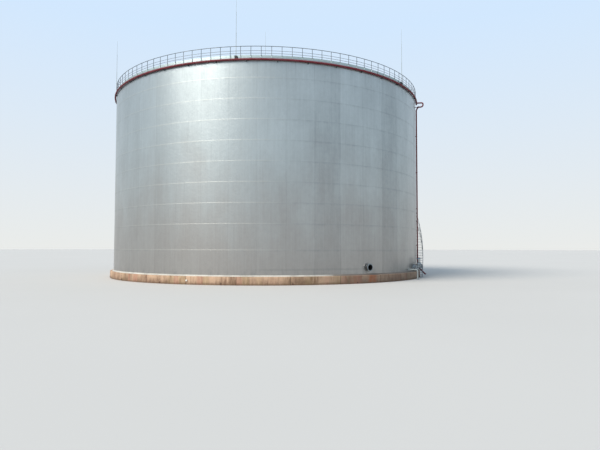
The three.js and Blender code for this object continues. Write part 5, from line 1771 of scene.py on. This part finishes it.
class TANK_OT_stage(bpy.types.Operator):
    """Makes the camera, the plain floor and the soft light"""

    bl_idname = "tank.stage"
    bl_label = "Stage"

    def execute(self, context):
        stage = context.scene.tank_stage
        self.add_camera(context, stage)
        self.add_floor(stage)
        self.add_light(context, stage)
        return {"FINISHED"}

    def add_camera(self, context, stage):
        camera = place_object("camera", bpy.data.cameras.new("camera"))
        camera.data.sensor_width, camera.data.lens = 36, stage.lens
        camera.data.clip_end = 2000
        bearing = math.degrees(stage.camera_bearing)
        camera.location = polar(stage.camera_distance, bearing, stage.camera_height)
        right_angle = math.radians(90)
        turn = Matrix.Rotation(stage.camera_heading - right_angle, 4, "Z")
        turn @= Matrix.Rotation(stage.camera_pitch + right_angle, 4, "X")
        turn @= Matrix.Rotation(stage.camera_roll, 4, "Z")
        camera.rotation_euler = turn.to_euler()
        context.scene.camera = camera

    def add_floor(self, stage):
        count = FLOOR_SIDES
        angles = [math.degrees(turn) for turn in turns(count, 0)]
        points = [polar(distance, angle, -FLOOR_DROP) for distance in FLOOR_RINGS for angle in angles]
        faces = [tuple(range(count))]
        for ring in range(len(FLOOR_RINGS) - 1):
            here, there = ring * count, (ring + 1) * count
            for side in range(count):
                after = (side + 1) % count
                faces.append((here + side, here + after, there + after, there + side))
        mesh = bpy.data.meshes.new("floor")
        mesh.from_pydata(points, [], faces)
        finish = Finish("floor", {"Roughness": 0.85, "Specular IOR Level": 0.2})
        cloud = finish.noise(0.05, detail=2.0)
        finish.feed(Base_Color=finish.blend(cloud, paint(stage.floor, 0.97), paint(stage.floor, 1.03)))
        mesh.materials.append(finish.material)
        place_object("floor", mesh)

    def add_light(self, context, stage):
        world = bpy.data.worlds.new("soft_light")
        context.scene.world = world
        world.use_nodes = True
        nodes, links = world.node_tree.nodes, world.node_tree.links
        spot = nodes.new("ShaderNodeTexCoord")
        split = nodes.new("ShaderNodeSeparateXYZ")
        ramp = nodes.new("ShaderNodeValToRGB")
        low, high = ramp.color_ramp.elements
        low.color, high.color = paint(stage.sky_low), paint(stage.sky_high)
        high.position = SKY_BLEND
        links.new(spot.outputs["Generated"], split.inputs[0])
        links.new(split.outputs["Z"], ramp.inputs[0])
        links.new(ramp.outputs[0], nodes["Background"].inputs["Color"])
        nodes["Background"].inputs["Strength"].default_value = stage.sky_strength
        light = bpy.data.lights.new("key", "SUN")
        light.energy, light.angle = stage.key_strength, stage.key_softness
        light.color = KEY_COLOUR
        away = polar(math.cos(stage.key_height), math.degrees(stage.key_bearing), math.sin(stage.key_height))
        place_object("key", light).rotation_euler = away.to_track_quat("Z", "Y").to_euler()
        context.scene.view_settings.view_transform = "Standard"


class TANK_PT_panel(bpy.types.Panel):
    """Lists the pieces of the tank with their sizes and colours"""

    bl_label = "Storage tank"
    bl_idname = "TANK_PT_panel"
    bl_space_type = "VIEW_3D"
    bl_region_type = "UI"
    bl_category = "Storage tank"

    def draw(self, context):
        for operator in OPERATORS:
            self.layout.operator(operator.bl_idname)
        for group in GROUPS:
            settings, box = getattr(context.scene, group), self.layout.box()
            for name in settings.bl_rna.properties.keys():
                if name not in ("rna_type", "name"):
                    box.prop(settings, name)


OPERATORS = (
    TANK_OT_stage, TANK_OT_foundation, TANK_OT_seal, TANK_OT_shell, TANK_OT_roof, TANK_OT_rim,
    TANK_OT_railing, TANK_OT_rods, TANK_OT_cooling_ring, TANK_OT_riser, TANK_OT_manway,
    TANK_OT_nozzles, TANK_OT_drain, TANK_OT_stair, TANK_OT_landings,
)
GROUPS = {"tank_sizes": TankSizes, "tank_colours": TankColours, "tank_stage": StageSettings}


def register():
    for made in (*GROUPS.values(), *OPERATORS, TANK_PT_panel):
        bpy.utils.register_class(made)
    for name, group in GROUPS.items():
        setattr(bpy.types.Scene, name, PointerProperty(type=group))


def unregister():
    for name in GROUPS:
        delattr(bpy.types.Scene, name)
    for made in (TANK_PT_panel, *reversed(OPERATORS), *reversed(GROUPS.values())):
        bpy.utils.unregister_class(made)


def main():
    register()
    for operator in OPERATORS:
        name = operator.bl_idname.split(".")[1]
        getattr(bpy.ops.tank, name)()


if __name__ == "__main__":
    main()
